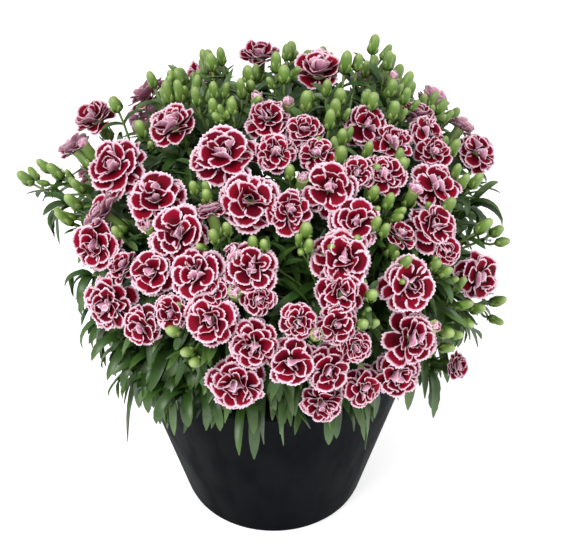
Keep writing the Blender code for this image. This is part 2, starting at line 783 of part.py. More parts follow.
def main():
    for old in list(bpy.data.objects):
        bpy.data.objects.remove(old)
    green = material("leaf_green", GREEN, 0.5)
    red = material("petal_red", RED, 0.6)
    placed, bunches, still = head_bunches()
    for number, solids in enumerate(bunches):
        fused(f"heads_{number + 1:02d}", solids, red)

    feet = stem_feet()
    pot = make_pot(material("pot_plastic", BLACK, 0.45))
    soil = make_soil(material("soil_earth", EARTH, 0.95), feet)
    spines = [stem_path(foot) for foot in feet]
    girths = [STEM_RADIUS] * 3 + [STALK_RADIUS]
    stems = {s: [tube_solid(spine, girths, [4] * 4)] for s, spine in enumerate(spines)}
    trees_by_stem = {s: [tree_of(pieces[0])] for s, pieces in stems.items()}
    for mesh in (pot.data, soil.data):
        still.append(tree_of(([v.co for v in mesh.vertices], [tuple(p.vertices) for p in mesh.polygons])))
    grow_stalks(head_ends(placed), spines, still, trees_by_stem, stems)
    grow_stalks(bud_ends(), spines, still, trees_by_stem, stems)
    grow_skirt(spines, still, trees_by_stem, stems)
    grow_leaves(spines, still, trees_by_stem, stems)
    for s in stems:
        fused(f"leafy_stem_{s + 1:02d}", stems[s], green)


main()
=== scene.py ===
import math
import random

import bpy
import numpy as np
from mathutils import Matrix, Quaternion, Vector
from mathutils.kdtree import KDTree


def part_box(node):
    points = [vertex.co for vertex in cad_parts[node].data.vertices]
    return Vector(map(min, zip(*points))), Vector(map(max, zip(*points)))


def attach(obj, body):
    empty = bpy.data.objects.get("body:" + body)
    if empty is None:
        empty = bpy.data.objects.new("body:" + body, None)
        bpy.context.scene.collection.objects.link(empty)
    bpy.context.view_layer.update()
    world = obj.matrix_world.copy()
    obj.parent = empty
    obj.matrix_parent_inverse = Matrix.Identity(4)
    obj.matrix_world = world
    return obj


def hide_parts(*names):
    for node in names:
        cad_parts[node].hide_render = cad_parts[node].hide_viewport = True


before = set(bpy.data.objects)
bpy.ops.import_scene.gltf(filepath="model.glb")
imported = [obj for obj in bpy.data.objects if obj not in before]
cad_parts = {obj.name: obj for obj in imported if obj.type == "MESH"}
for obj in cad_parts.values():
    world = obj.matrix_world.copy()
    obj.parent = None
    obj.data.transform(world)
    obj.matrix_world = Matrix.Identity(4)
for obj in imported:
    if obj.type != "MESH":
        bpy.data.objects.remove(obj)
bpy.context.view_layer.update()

bpy.ops.object.select_all(action="DESELECT")

# The pot: one piece of thin black polypropylene, blown or pressed in a mould. Its wall tapers to a
# small flat base and ends in a turned-out lip. The satin skin is scuffed and dusty from the nursery.
pot_low, pot_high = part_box("pot")
RIM_RADIUS = (pot_high.x - pot_low.x) / 2
POT_HEIGHT = pot_high.z
BASE_SHARE = 0.587
BASE_RADIUS = BASE_SHARE * RIM_RADIUS
WALL = 0.0018
FLOOR = 0.0025
LIP_HEIGHT = 0.009
LIP_WIDTH = 0.0035
POT_STEPS = 128
DRAIN_COUNT = 3
DRAIN_RADIUS = 0.006
DRAIN_RING = 0.045
DRAIN_SIDES = 32
DRILL_LENGTH = 0.02
# the middle of the base is raised by a hair inside a flat ring
BASE_HOLLOW = 0.0004
HOLLOW_SHARE, FOOT_RING_SHARE = 0.80, 0.84
# rounded corners of the outline, each as steps in radius and height from the sharp corner
FOOT_CORNER = ((-0.004, 0.0), (-0.0012, 0.0009), (0.0, 0.004))
LIP_UNDERSIDE = ((-0.0002, -0.0006), (0.0006, 0.0))
LIP_LOW_EDGE = ((-0.0006, 0.0004), (-0.0002, 0.0012))
LIP_TOP_EDGE = ((0.0, -0.0016), (-0.0005, -0.0004), (-0.0015, 0.0))
LIP_INNER_EDGE = ((0.0006, -0.0001), (0.0, -0.0008))
FLOOR_CORNER = ((0.0, 0.002), (-0.002, 0.0))
SEAM_REACH = 0.00005
DOUBLES_REACH = 0.00002
POT_SHARP_OVER = 40
POT_SHADES = ((0.40, (0.0022, 0.0030, 0.0042)), (0.80, (0.0036, 0.0046, 0.0062)))
# scale and detail of the noise of dust and scuffs
POT_DUST, POT_SCUFF = (22, 8), (60, 6)
POT_SCUFFS = ((0.35, (0.40,) * 3), (0.75, (0.55,) * 3))
POT_UPRIGHT_STREAKS = (1.0, 1.0, 0.25)
POT_SHINE = 0.004
# scale, detail, strength and depth of the skin's fine grain
POT_GRAIN = (900, 3, 0.12, 0.0004)


def wall_radius(height):
    """The pot's outer radius below its lip."""
    return BASE_RADIUS + (RIM_RADIUS - LIP_WIDTH - BASE_RADIUS) * height / POT_HEIGHT


def turned_piece(name, outline, steps):
    """A piece turned about Z from an outline of (radius, height) that starts and ends on the axis."""
    mesh = bpy.data.meshes.new(name)
    mesh.from_pydata([(r, 0, z) for r, z in outline], [(i, i + 1) for i in range(len(outline) - 1)], [])
    piece = bpy.data.objects.new(name, mesh)
    bpy.context.scene.collection.objects.link(piece)
    bpy.context.view_layer.objects.active = piece
    piece.select_set(True)
    screw = piece.modifiers.new("turn", "SCREW")
    screw.steps = screw.render_steps = steps
    screw.use_merge_vertices = True
    screw.merge_threshold = SEAM_REACH
    bpy.ops.object.modifier_apply(modifier="turn")
    bpy.ops.object.mode_set(mode="EDIT")
    bpy.ops.mesh.select_all(action="SELECT")
    bpy.ops.mesh.remove_doubles(threshold=DOUBLES_REACH)
    bpy.ops.mesh.normals_make_consistent(inside=False)
    bpy.ops.object.mode_set(mode="OBJECT")
    smooth_shaded(piece, POT_SHARP_OVER)
    return piece


def smooth_shaded(piece, degrees):
    """Smooth shading, apart from edges where two faces turn by more than so many degrees."""
    bpy.context.view_layer.objects.active = piece
    piece.select_set(True)
    bpy.ops.object.shade_smooth_by_angle(angle=math.radians(degrees))
    piece.select_set(False)


def drilled(piece, x, y):
    """A round drain hole through the bottom of a piece."""
    bpy.ops.mesh.primitive_cylinder_add(
        radius=DRAIN_RADIUS, depth=DRILL_LENGTH, vertices=DRAIN_SIDES, location=(x, y, 0)
    )
    drill = bpy.context.active_object
    hole = piece.modifiers.new("hole", "BOOLEAN")
    hole.operation = "DIFFERENCE"
    hole.solver = "EXACT"
    hole.object = drill
    bpy.context.view_layer.objects.active = piece
    bpy.ops.object.modifier_apply(modifier="hole")
    bpy.data.objects.remove(drill)


def corner(radius, height, steps):
    """The rounded form of an outline's corner."""
    return [(radius + out, height + up) for out, up in steps]


def new_material(name, roughness):
    """A plain finish, with its nodes, its links and its shader."""
    made = bpy.data.materials.new(name)
    made.use_nodes = True
    nodes, links = made.node_tree.nodes, made.node_tree.links
    shader = nodes["Principled BSDF"]
    shader.inputs["Roughness"].default_value = roughness
    return made, nodes, links, shader


def shades(nodes, links, source, stops, smooth=True):
    """The colour that a value picks from stops of (place, colour)."""
    ramp = nodes.new("ShaderNodeValToRGB")
    ramp.color_ramp.interpolation = "EASE" if smooth else "LINEAR"
    while len(ramp.color_ramp.elements) < len(stops):
        ramp.color_ramp.elements.new(0.5)
    for element, (place, colour) in zip(ramp.color_ramp.elements, stops):
        element.position = place
        element.color = (*colour, 1.0)
    links.new(source, ramp.inputs["Fac"])
    return ramp.outputs["Color"]


def noise(nodes, links, scale, detail, source):
    """A cloudy value from 0 to 1 that varies over the piece."""
    texture = nodes.new("ShaderNodeTexNoise")
    texture.inputs["Scale"].default_value = scale
    texture.inputs["Detail"].default_value = detail
    links.new(source, texture.inputs["Vector"])
    return texture.outputs["Fac"]


def relief(nodes, links, shader, source, scale, detail, strength, depth):
    """Fine relief on the skin of a piece."""
    bump = nodes.new("ShaderNodeBump")
    bump.inputs["Strength"].default_value = strength
    bump.inputs["Distance"].default_value = depth
    links.new(noise(nodes, links, scale, detail, source), bump.inputs["Height"])
    links.new(bump.outputs["Normal"], shader.inputs["Normal"])


def satin_plastic():
    """Black plastic with grey dust and dull scuffs in upright streaks."""
    made, nodes, links, shader = new_material("pot_satin_black", 0.42)
    place = nodes.new("ShaderNodeTexCoord").outputs["Object"]
    stretch = nodes.new("ShaderNodeMapping")
    stretch.inputs["Scale"].default_value = POT_UPRIGHT_STREAKS
    links.new(place, stretch.inputs["Vector"])
    streaks = stretch.outputs["Vector"]
    shader.inputs["Specular IOR Level"].default_value = POT_SHINE
    dust = noise(nodes, links, *POT_DUST, streaks)
    links.new(shades(nodes, links, dust, POT_SHADES), shader.inputs["Base Color"])
    scuffs = noise(nodes, links, *POT_SCUFF, streaks)
    links.new(shades(nodes, links, scuffs, POT_SCUFFS), shader.inputs["Roughness"])
    relief(nodes, links, shader, place, *POT_GRAIN)
    return made


lip_foot = POT_HEIGHT - LIP_HEIGHT
pot_outline = [(0, BASE_HOLLOW), (BASE_RADIUS * HOLLOW_SHARE, BASE_HOLLOW)]
pot_outline.append((BASE_RADIUS * FOOT_RING_SHARE, 0))
pot_outline += corner(BASE_RADIUS, 0, FOOT_CORNER)
pot_outline += corner(wall_radius(lip_foot), lip_foot, LIP_UNDERSIDE)
pot_outline += corner(RIM_RADIUS, lip_foot, LIP_LOW_EDGE)
pot_outline += corner(RIM_RADIUS, POT_HEIGHT, LIP_TOP_EDGE)
pot_outline += corner(wall_radius(POT_HEIGHT) - WALL, POT_HEIGHT, LIP_INNER_EDGE)
pot_outline += corner(wall_radius(FLOOR) - WALL, FLOOR, FLOOR_CORNER) + [(0, FLOOR)]
pot = turned_piece("pot_shell", pot_outline, POT_STEPS)
for k in range(DRAIN_COUNT):
    angle = 2 * math.pi * (k + 0.5) / DRAIN_COUNT
    drilled(pot, DRAIN_RING * math.cos(angle), DRAIN_RING * math.sin(angle))
smooth_shaded(pot, POT_SHARP_OVER)
pot.data.materials.append(satin_plastic())
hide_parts("pot")
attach(pot, "root")

# The soil: dark, moist peat with a crumbly top a little below the rim. It is loose in the real pot,
# fills it down to the base, and lies in shade under the leaves.
soil_low, soil_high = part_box("soil")
SOIL_DIP = 0.0045
SOIL_CROWN = 0.003
SOIL_GAP = 0.0004
SOIL_RINGS, SOIL_STEPS = 26, 72
CRUMB = 0.00132
SOIL_BROWNS = ((0.35, (0.006, 0.004, 0.003)), (0.6, (0.030, 0.018, 0.011)), (0.8, (0.07, 0.045, 0.03)))
SOIL_CRUMBS = (260, 8)
SOIL_LUMPS = (0.9, 0.002)


def peat():
    """Dark peat with paler crumbs."""
    made, nodes, links, shader = new_material("moist_peat", 0.9)
    place = nodes.new("ShaderNodeTexCoord").outputs["Object"]
    crumbs = noise(nodes, links, *SOIL_CRUMBS, place)
    links.new(shades(nodes, links, crumbs, SOIL_BROWNS), shader.inputs["Base Color"])
    relief(nodes, links, shader, place, *SOIL_CRUMBS, *SOIL_LUMPS)
    return made


soil_edge = soil_high.z - SOIL_DIP
soil_radius = wall_radius(soil_edge) - WALL - SOIL_GAP
soil_outline = [
    (0, soil_low.z), (wall_radius(soil_low.z) - WALL - SOIL_GAP, soil_low.z), (soil_radius, soil_edge)
]
for k in range(1, SOIL_RINGS):
    share = k / SOIL_RINGS
    soil_outline.append((soil_radius * (1 - share), soil_edge + SOIL_CROWN * math.sin(math.pi / 2 * share)))
soil_outline.append((0, soil_edge + SOIL_CROWN))
soil = turned_piece("soil_bed", soil_outline, SOIL_STEPS)
soil_luck = random.Random(3)
# every point of the top inside its edge is raised or sunk
for point in soil.data.vertices:
    if point.co.z > soil_edge + SOIL_CROWN / SOIL_RINGS:
        point.co.z += soil_luck.uniform(-1, 1) * CRUMB
soil.data.materials.append(peat())
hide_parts("soil")
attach(soil, "root")

# The flower heads: double flowers of some twenty broad, cupped petals in flat layers on a green
# calyx. A petal is deep crimson velvet in front, with a narrow toothed margin of pale pink, and
# mauve behind. The petals in the heart curl over and show their backs. The heads lie on a dome.
DOME_CENTRE = Vector((0.006, 0.0, 0.2375))
DOME_SIZE = Vector((0.150, 0.150, 0.100))
# the line of sight from which the places of heads and buds are given, and its distances in pixels
VIEW_CENTRE = (285, 277)
VIEW_FOCAL = 1876.0
VIEW_DISTANCE = 1.33
VIEW_TILT = math.radians(40)
VIEW_TARGET = Vector((0.0085, 0.0, 0.193))
VIEW_AHEAD = Vector((0, math.cos(VIEW_TILT), -math.sin(VIEW_TILT)))
VIEW_UP = Vector((0, math.sin(VIEW_TILT), math.cos(VIEW_TILT)))
EYE = VIEW_TARGET - VIEW_AHEAD * VIEW_DISTANCE
PIXEL = VIEW_DISTANCE / VIEW_FOCAL
# x, y and width of each head that faces the front, in pixels of the 570 by 554 picture
HEADS_IN_VIEW = (
    (260, 56, 42), (95, 119, 45), (75, 148, 36), (115, 167, 60), (174, 126, 50),
    (224, 155, 62), (156, 199, 56), (179, 234, 55), (103, 214, 42), (97, 246, 53),
    (249, 201, 56), (211, 211, 28), (268, 119, 44), (305, 130, 38), (318, 154, 36),
    (276, 152, 38), (152, 272, 46), (124, 267, 34), (197, 274, 50), (252, 269, 48),
    (290, 211, 42), (319, 71, 52), (366, 125, 44), (393, 144, 42), (433, 100, 34),
    (416, 116, 38), (427, 134, 40), (434, 153, 36), (478, 152, 44), (461, 127, 28),
    (329, 187, 52), (384, 174, 42), (357, 173, 32), (436, 186, 52), (356, 222, 46),
    (401, 236, 30), (434, 226, 50), (446, 250, 28), (343, 259, 56), (341, 294, 44),
    (409, 285, 52), (478, 277, 48), (109, 304, 54), (142, 327, 38), (171, 313, 34),
    (211, 319, 50), (258, 299, 32), (254, 345, 46), (236, 384, 54), (299, 322, 34),
    (291, 362, 48), (337, 324, 38), (354, 346, 32), (411, 339, 54), (328, 370, 44),
    (322, 403, 40), (363, 388, 38), (396, 374, 50), (456, 366, 28), (215, 291, 30),
)
# numbers of the heads with many upright petals, and of those seen from the side, with how far each
# still faces the front: below nought it shows the pale backs of its petals
FULL_HEADS = {4, 12, 14, 15, 20, 23, 27, 31, 39, 42, 46, 47, 48, 49, 52, 53, 55, 57}
SIDE_ON_HEADS = {
    0: 0.35, 1: 0.30, 2: -0.30, 4: 0.60, 8: -0.05, 11: 0.0, 17: 0.3, 21: 0.42, 24: -0.45, 25: 0.1, 29: -0.35,
    35: 0.3, 58: 0.2,
}
# x, y and width of the buds whose first petals show, in the same pixels
OPENING_BUDS = (
    (147, 224, 16), (233, 252, 24), (257, 99, 18), (288, 102, 15), (394, 76, 13), (416, 188, 18),
    (234, 291, 15), (317, 334, 13), (139, 183, 11), (303, 177, 13), (436, 326, 11), (83, 144, 15),
)
# how much heads look askew and to the viewed side, and the least that they face it
LEAN = 0.24
LEAN_TO_VIEW = 0.35
LEAST_SEEN = 0.75
BUD_LIFT = 1.05
BUD_UPRIGHT = 0.55
LOWEST_FACING = 0.12
# the heads of the far side: widths, and where on the dome they may stand
BACK_HEAD_WIDTH = (0.030, 0.038)
BACK_HEAD_WIDTHS = 7
BACK_HEAD_TRIES = 260
BACK_LEVELS = (-0.55, 0.95)
BACK_FACING = 0.2
BACK_FROM = 0.25
BACK_SPACING = 0.0375
GOLDEN_ANGLE = math.pi * (3 - math.sqrt(5))
# heads under so many pixels are half open; openness is 1 for a full flower
HALF_OPEN_WIDTH = 33
HALF_OPEN, SIDE_ON, BURSTING = 0.72, 0.50, 0.90
SIDE_ON_LIFT = 0.3
# a petal's sheet: places across and along it, and finer places across its toothed edge
PETAL_COLUMNS = np.array((-1.0, -0.74, -0.38, 0.0, 0.38, 0.74, 1.0))
PETAL_ROWS = np.array((0.06, 0.40, 0.72, 0.90))
EDGE_COLUMNS = np.linspace(-1, 1, 19)
PETAL_THICKNESS = 0.0004
# a petal with a length of 1: teeth on its edge, rounded shoulders, the width of its claw, how soon it
# bends, its ruffles (waves, how fast they grow to the edge, finer waves and their share) and its cup
TEETH, TOOTH_LUCK = (-0.024, 0.026), 0.022
SHOULDER_DROP, SHOULDER_POWER = 0.30, 3.2
CLAW_WIDTH = 0.50
CURVE_REACH, CURVE_STEPS = 1.1, 34
BEND_SOONER, BEND_POWER = 1.3, 0.8
RUFFLE_WAVES, RUFFLE_POWER = (1.0, 2.0), 1.8
FINE_WAVES, FINE_SHARE = 1.9, 0.26
CUP = (0.02, 0.15)
EDGE_POWER, SIDE_EDGE = 1.5, (2.4, 0.6)
# a head: the ring that its claws stand on, the turn of each layer in radians, and how much petals differ
CLAW_RING = (0.0010, 0.05)
LAYER_TURN = 0.62
PETAL_SHIFT = 0.22
PETAL_LIFT, CLOSED_LIFT, FOOT_LIFT_SHARE = (-12, 16), 50, 0.5
PETAL_LENGTHS, PETAL_WIDTHS, PETAL_RUFFLES = (0.86, 1.08), (0.86, 1.14), (0.6, 2.0)
PETAL_ROLL = 0.20
HEAD_SINK = 0.22
HEAD_SEED = 100
SOFT_SHARP_OVER = 75
# colours of the front by reach, its margin by nearness to the edge, its noises as scale and detail,
# and its fine relief as scale, detail, strength and depth; then the same for the back
CRIMSONS = ((0.0, (0.03, 0.001, 0.003)), (0.45, (0.10, 0.001, 0.007)), (0.85, (0.24, 0.002, 0.016)))
# some petals are darkened at random towards this deep crimson: partly tone, partly painted shade of petals
# that lie under others
DEEP_AND_SHADED_CRIMSON, DEEPER_AND_SHADED_SHARE = (0.055, 0.001, 0.006), 0.72
MARGIN, MARGIN_RAGS, MARGIN_NOISE = (0.83, 0.89), 0.10, (900, 2)
MARGIN_PINKS = ((0.84, (0.42, 0.12, 0.22)), (0.96, (0.80, 0.60, 0.68)))
PETAL_SHINE = 0.06
PETAL_FOLDS = (420, 3, 0.35, 0.0006)
MAUVES = ((0.0, (0.46, 0.40, 0.24)), (0.35, (0.50, 0.18, 0.31)), (0.9, (0.66, 0.34, 0.48)))
VEINS, VEIN_NOISE, VEIN_SHARE, VEIN_COLOUR = (0.45, 0.65), (330, 3), 0.45, (0.34, 0.05, 0.13)
BACK_MARGIN, BACK_MARGIN_PINK = (0.88, 0.97), (0.86, 0.66, 0.72)
# layers from the lowest up: petals, their length as a share of the head's radius, half their angle,
# their slope at the foot and at the tip, the height of the layer and the depth of its ruffles
OPEN_LAYERS = (
    (6, 0.97, 36, 28, -22, -0.10, 0.10),
    (6, 0.93, 37, 32, -10, 0.00, 0.10),
    (5, 0.88, 42, 38, 0, 0.10, 0.09),
    (5, 0.78, 42, 46, 12, 0.20, 0.10),
    (4, 0.60, 44, 54, 62, 0.21, 0.24),
    (3, 0.46, 44, 66, 118, 0.20, 0.24),
)
FULL_LAYERS = (
    (6, 0.97, 34, 28, -24, -0.10, 0.12),
    (6, 0.93, 33, 34, -8, 0.00, 0.13),
    (6, 0.86, 33, 42, 8, 0.10, 0.13),
    (6, 0.76, 33, 52, 28, 0.19, 0.15),
    (5, 0.63, 36, 60, 56, 0.22, 0.22),
    (4, 0.50, 42, 68, 104, 0.22, 0.26),
)
BUD_LAYERS = (
    (5, 1.50, 34, 62, 92, -0.60, 0.10),
    (4, 1.45, 36, 72, 98, -0.50, 0.14),
)


def on_dome(x_px, y_px, lift=1.0):
    """The point of the dome, grown by lift, that a pixel of the picture shows, and its outward normal."""
    ray = VIEW_AHEAD * VIEW_FOCAL + Vector((1, 0, 0)) * (x_px - VIEW_CENTRE[0])
    ray += VIEW_UP * (VIEW_CENTRE[1] - y_px)
    size = DOME_SIZE * lift
    start = Vector([(EYE - DOME_CENTRE)[i] / size[i] for i in range(3)])
    line = Vector([ray[i] / size[i] for i in range(3)])
    middle = -start.dot(line) / line.dot(line)
    depth = middle * middle - (start.dot(start) - 1) / line.dot(line)
    if depth >= 0:
        flat = start + line * (middle - math.sqrt(depth))
        point = DOME_CENTRE + flat * size
    else:
        flat = start + line * middle
        point = EYE + ray * middle
    return point, facing(Vector([flat[i] / size[i] for i in range(3)]).normalized())


def facing(normal):
    """A head on the skirt of the dome looks outwards and a little up, never down."""
    return Vector((normal.x, normal.y, max(normal.z, LOWEST_FACING))).normalized()


def leaned(point, normal, number):
    """The way head number faces, as in the frame: outwards, a little to the viewed side, and askew."""
    luck = random.Random(number)
    askew = Vector([luck.uniform(-LEAN, LEAN) for _ in range(3)])
    to_eye = (EYE - point).normalized()
    if number >= len(HEADS_IN_VIEW):
        return facing(normal + askew)
    axis = facing(normal + askew + to_eye * LEAN_TO_VIEW)
    # one that would be seen edge-on turns its face a little more
    return (axis + to_eye * max(0, LEAST_SEEN - axis.dot(to_eye))).normalized()


# how far along and across its petal each point lies, and how near its free edge, where it is 1
PETAL_REACH = np.concatenate([np.repeat(PETAL_ROWS, len(PETAL_COLUMNS)), np.ones(len(EDGE_COLUMNS))])
PETAL_ACROSS = np.concatenate([np.tile(PETAL_COLUMNS, len(PETAL_ROWS)), EDGE_COLUMNS])
near_side = np.abs(PETAL_ACROSS) * np.clip(PETAL_REACH * SIDE_EDGE[0] - SIDE_EDGE[1], 0, 1)
PETAL_EDGE = np.maximum(PETAL_REACH ** EDGE_POWER, near_side)


def petal_sheet(length, half_angle, foot_slope, tip_slope, ruffle, luck):
    """Points of one petal, rows from the claw up and then the toothed edge: its front, then its back."""
    teeth = np.where(np.arange(len(EDGE_COLUMNS)) % 2 == 0, *TEETH)
    teeth = teeth + np.array([luck.uniform(-TOOTH_LUCK, TOOTH_LUCK) for _ in EDGE_COLUMNS])
    across, rows = PETAL_ACROSS, PETAL_REACH
    reach = rows * (1 - SHOULDER_DROP * np.abs(across) ** SHOULDER_POWER)
    reach[-len(EDGE_COLUMNS):] += teeth
    angle = across * half_angle * (CLAW_WIDTH + (1 - CLAW_WIDTH) * rows ** 0.5)
    run, side = reach * np.cos(angle), reach * np.sin(angle)
    # the bend along the petal's middle, then how far out and up each point of it comes
    steps = np.linspace(0, CURVE_REACH, CURVE_STEPS)
    bent = np.clip(steps * BEND_SOONER, 0, 1) ** BEND_POWER
    slope = np.radians(foot_slope + (tip_slope - foot_slope) * bent)
    out = np.concatenate([[0], np.cumsum(np.cos(slope[:-1])) * (steps[1] - steps[0])])
    rise = np.concatenate([[0], np.cumsum(np.sin(slope[:-1])) * (steps[1] - steps[0])])
    tilt = np.interp(run, steps, slope)
    waves = luck.uniform(*RUFFLE_WAVES)
    phase, fine_phase = luck.uniform(0, 2 * math.pi), luck.uniform(0, 2 * math.pi)
    broad = np.sin(across * math.pi * waves * 0.5 + phase)
    fine = np.sin(across * math.pi * FINE_WAVES + fine_phase)
    lift = ruffle * reach ** RUFFLE_POWER * (broad + FINE_SHARE * fine)
    lift += luck.uniform(*CUP) * across ** 2 * reach
    outward = np.interp(run, steps, out) - np.sin(tilt) * lift
    upward = np.interp(run, steps, rise) + np.cos(tilt) * lift
    points = np.stack([outward, side, upward], axis=-1) * length
    normals = np.stack([-np.sin(tilt), np.zeros_like(tilt), np.cos(tilt)], axis=-1)
    return points, points - normals * PETAL_THICKNESS


def petal_faces():
    """Faces of a petal, and the points of its back sheet that don't lie on its border."""
    wide, high, fine = len(PETAL_COLUMNS), len(PETAL_ROWS), len(EDGE_COLUMNS)
    front = [
        (r * wide + c, (r + 1) * wide + c, (r + 1) * wide + c + 1, r * wide + c + 1)
        for r in range(high - 1) for c in range(wide - 1)
    ]
    last, edge, c, e = (high - 1) * wide, high * wide, 0, 0
    # the outermost columns take one triangle each, so that no triangle has the border on all sides
    while c < wide - 1 or e < fine - 1:
        if c == 0 or e == fine - 1 or (c < wide - 2 and (c + 0.5) / (wide - 1) <= e / (fine - 1)):
            front.append((last + c, edge + e, last + c + 1))
            c += 1
        else:
            front.append((edge + e, edge + e + 1, last + c))
            e += 1
    inner = [r * wide + c for r in range(1, high) for c in range(1, wide - 1)]
    behind = {point: edge + fine + n for n, point in enumerate(inner)}
    back = [tuple(reversed([behind.get(point, point) for point in face])) for face in front]
    return front, back, inner


FRONT_FACES, BACK_FACES, BACK_POINTS = petal_faces()


def head_mesh(centre, axis, radius, openness, layers, luck):
    """Points, faces, finish of each face (0 front, 1 back) and tints (reach, edge, petal) of a head."""
    points, faces, sides, tints = [], [], [], []
    turn, count = luck.uniform(0, 2 * math.pi), 0
    foot = CLAW_RING[0] + CLAW_RING[1] * radius
    for layer, (petals, length, half_angle, foot_slope, tip_slope, height, ruffle) in enumerate(layers):
        for k in range(petals):
            place = (k + luck.uniform(-PETAL_SHIFT, PETAL_SHIFT)) / petals
            around = turn + layer * LAYER_TURN + 2 * math.pi * place
            lifted = luck.uniform(*PETAL_LIFT) + (1 - openness) * CLOSED_LIFT
            front, behind = petal_sheet(
                radius * length * luck.uniform(*PETAL_LENGTHS),
                math.radians(half_angle * luck.uniform(*PETAL_WIDTHS)),
                foot_slope + lifted * FOOT_LIFT_SHARE, tip_slope + lifted,
                ruffle * luck.uniform(*PETAL_RUFFLES), luck,
            )
            roll = Matrix.Rotation(luck.uniform(-PETAL_ROLL, PETAL_ROLL), 3, "X")
            rolled = Matrix.Rotation(around, 3, "Z") @ roll
            sheet = np.concatenate([front, behind[BACK_POINTS]]) @ np.array(rolled).T
            sheet += np.array([foot * math.cos(around), foot * math.sin(around), height * radius])
            points.append(sheet)
            faces += [tuple(i + count for i in face) for face in FRONT_FACES + BACK_FACES]
            sides += [0] * len(FRONT_FACES) + [1] * len(BACK_FACES)
            reach = np.concatenate([PETAL_REACH, PETAL_REACH[BACK_POINTS]])
            edge = np.concatenate([PETAL_EDGE, PETAL_EDGE[BACK_POINTS]])
            tints.append(np.stack([reach, edge, np.full_like(reach, luck.random())], axis=-1))
            count += len(sheet)
    local = np.concatenate(points)
    local[:, 2] -= radius * HEAD_SINK
    placed = local @ np.array(axis.to_track_quat("Z", "Y").to_matrix()).T + np.array(centre)
    return placed, faces, sides, np.concatenate(tints)


def piece_of(name, meshes, materials):
    """One piece from several meshes of points, faces, material numbers and tints."""
    points, faces, slots, tints, count = [], [], [], [], 0
    for own_points, own_faces, own_slots, own_tints in meshes:
        points.append(own_points)
        faces += [tuple(i + count for i in face) for face in own_faces]
        slots += own_slots
        tints.append(own_tints)
        count += len(own_points)
    mesh = bpy.data.meshes.new(name)
    mesh.from_pydata(np.concatenate(points).tolist(), [], faces)
    for finish in materials:
        mesh.materials.append(finish)
    mesh.polygons.foreach_set("material_index", slots)
    colours = np.concatenate(tints)
    layer = mesh.attributes.new("tint", "FLOAT_COLOR", "POINT")
    layer.data.foreach_set("color", np.concatenate([colours, np.ones((len(colours), 1))], axis=1).ravel())
    piece = bpy.data.objects.new(name, mesh)
    bpy.context.scene.collection.objects.link(piece)
    smooth_shaded(piece, SOFT_SHARP_OVER)
    return piece


def tint_parts(nodes, links):
    """The three channels of a piece's own tint attribute."""
    tint = nodes.new("ShaderNodeAttribute")
    tint.attribute_name = "tint"
    parts = nodes.new("ShaderNodeSeparateColor")
    links.new(tint.outputs["Color"], parts.inputs["Color"])
    return parts.outputs


def maths(nodes, links, operation, first, second):
    """The result of one sum on two values, each a number or a node's output."""
    node = nodes.new("ShaderNodeMath")
    node.operation = operation
    for socket, value in zip(node.inputs, (first, second)):
        if isinstance(value, (int, float)):
            socket.default_value = value
        else:
            links.new(value, socket)
    return node.outputs["Value"]


def blended(nodes, links, share, first, second, mode="MIX"):
    """A colour that goes from first to second as share goes from 0 to 1."""
    mix = nodes.new("ShaderNodeMixRGB")
    mix.blend_type = mode
    for name, value in (("Fac", share), ("Color1", first), ("Color2", second)):
        if isinstance(value, (int, float)):
            mix.inputs[name].default_value = value
        elif isinstance(value, tuple):
            mix.inputs[name].default_value = (*value, 1.0)
        else:
            links.new(value, mix.inputs[name])
    return mix.outputs["Color"]


def masked(nodes, links, source, ends, smooth=True):
    """Black below the first of two ends and white over the second."""
    return shades(nodes, links, source, ((ends[0], (0, 0, 0)), (ends[1], (1, 1, 1))), smooth)


def petal_front():
    """Crimson velvet with a ragged pale margin, darker towards the claw, and darker in some petals at
    random, partly as tone and partly as painted shade of petals that lie under others.
    """
    made, nodes, links, shader = new_material("petal_crimson", 0.62)
    reach, edge, petal = tint_parts(nodes, links)[:3]
    place = nodes.new("ShaderNodeTexCoord").outputs["Object"]
    # painted shade, partly: each petal's own random value darkens it towards the deep crimson
    depth = maths(nodes, links, "MULTIPLY", petal, DEEPER_AND_SHADED_SHARE)
    crimson = blended(nodes, links, depth, shades(nodes, links, reach, CRIMSONS), DEEP_AND_SHADED_CRIMSON)
    rags = maths(nodes, links, "MULTIPLY", noise(nodes, links, *MARGIN_NOISE, place), MARGIN_RAGS)
    border = maths(nodes, links, "ADD", maths(nodes, links, "ADD", edge, rags), -MARGIN_RAGS / 2)
    margin = masked(nodes, links, border, MARGIN, smooth=False)
    pale = shades(nodes, links, border, MARGIN_PINKS, smooth=False)
    links.new(blended(nodes, links, margin, crimson, pale), shader.inputs["Base Color"])
    shader.inputs["Specular IOR Level"].default_value = PETAL_SHINE
    relief(nodes, links, shader, place, *PETAL_FOLDS)
    return made


def petal_behind():
    """The mauve back of a petal, veined, pale at its edge and greenish at its claw."""
    made, nodes, links, shader = new_material("petal_mauve_back", 0.6)
    reach, edge = tint_parts(nodes, links)[:2]
    place = nodes.new("ShaderNodeTexCoord").outputs["Object"]
    veins = masked(nodes, links, noise(nodes, links, *VEIN_NOISE, place), VEINS)
    strength = maths(nodes, links, "MULTIPLY", veins, VEIN_SHARE)
    veined = blended(nodes, links, strength, shades(nodes, links, reach, MAUVES), VEIN_COLOUR)
    margin = masked(nodes, links, edge, BACK_MARGIN)
    links.new(blended(nodes, links, margin, veined, BACK_MARGIN_PINK), shader.inputs["Base Color"])
    return made


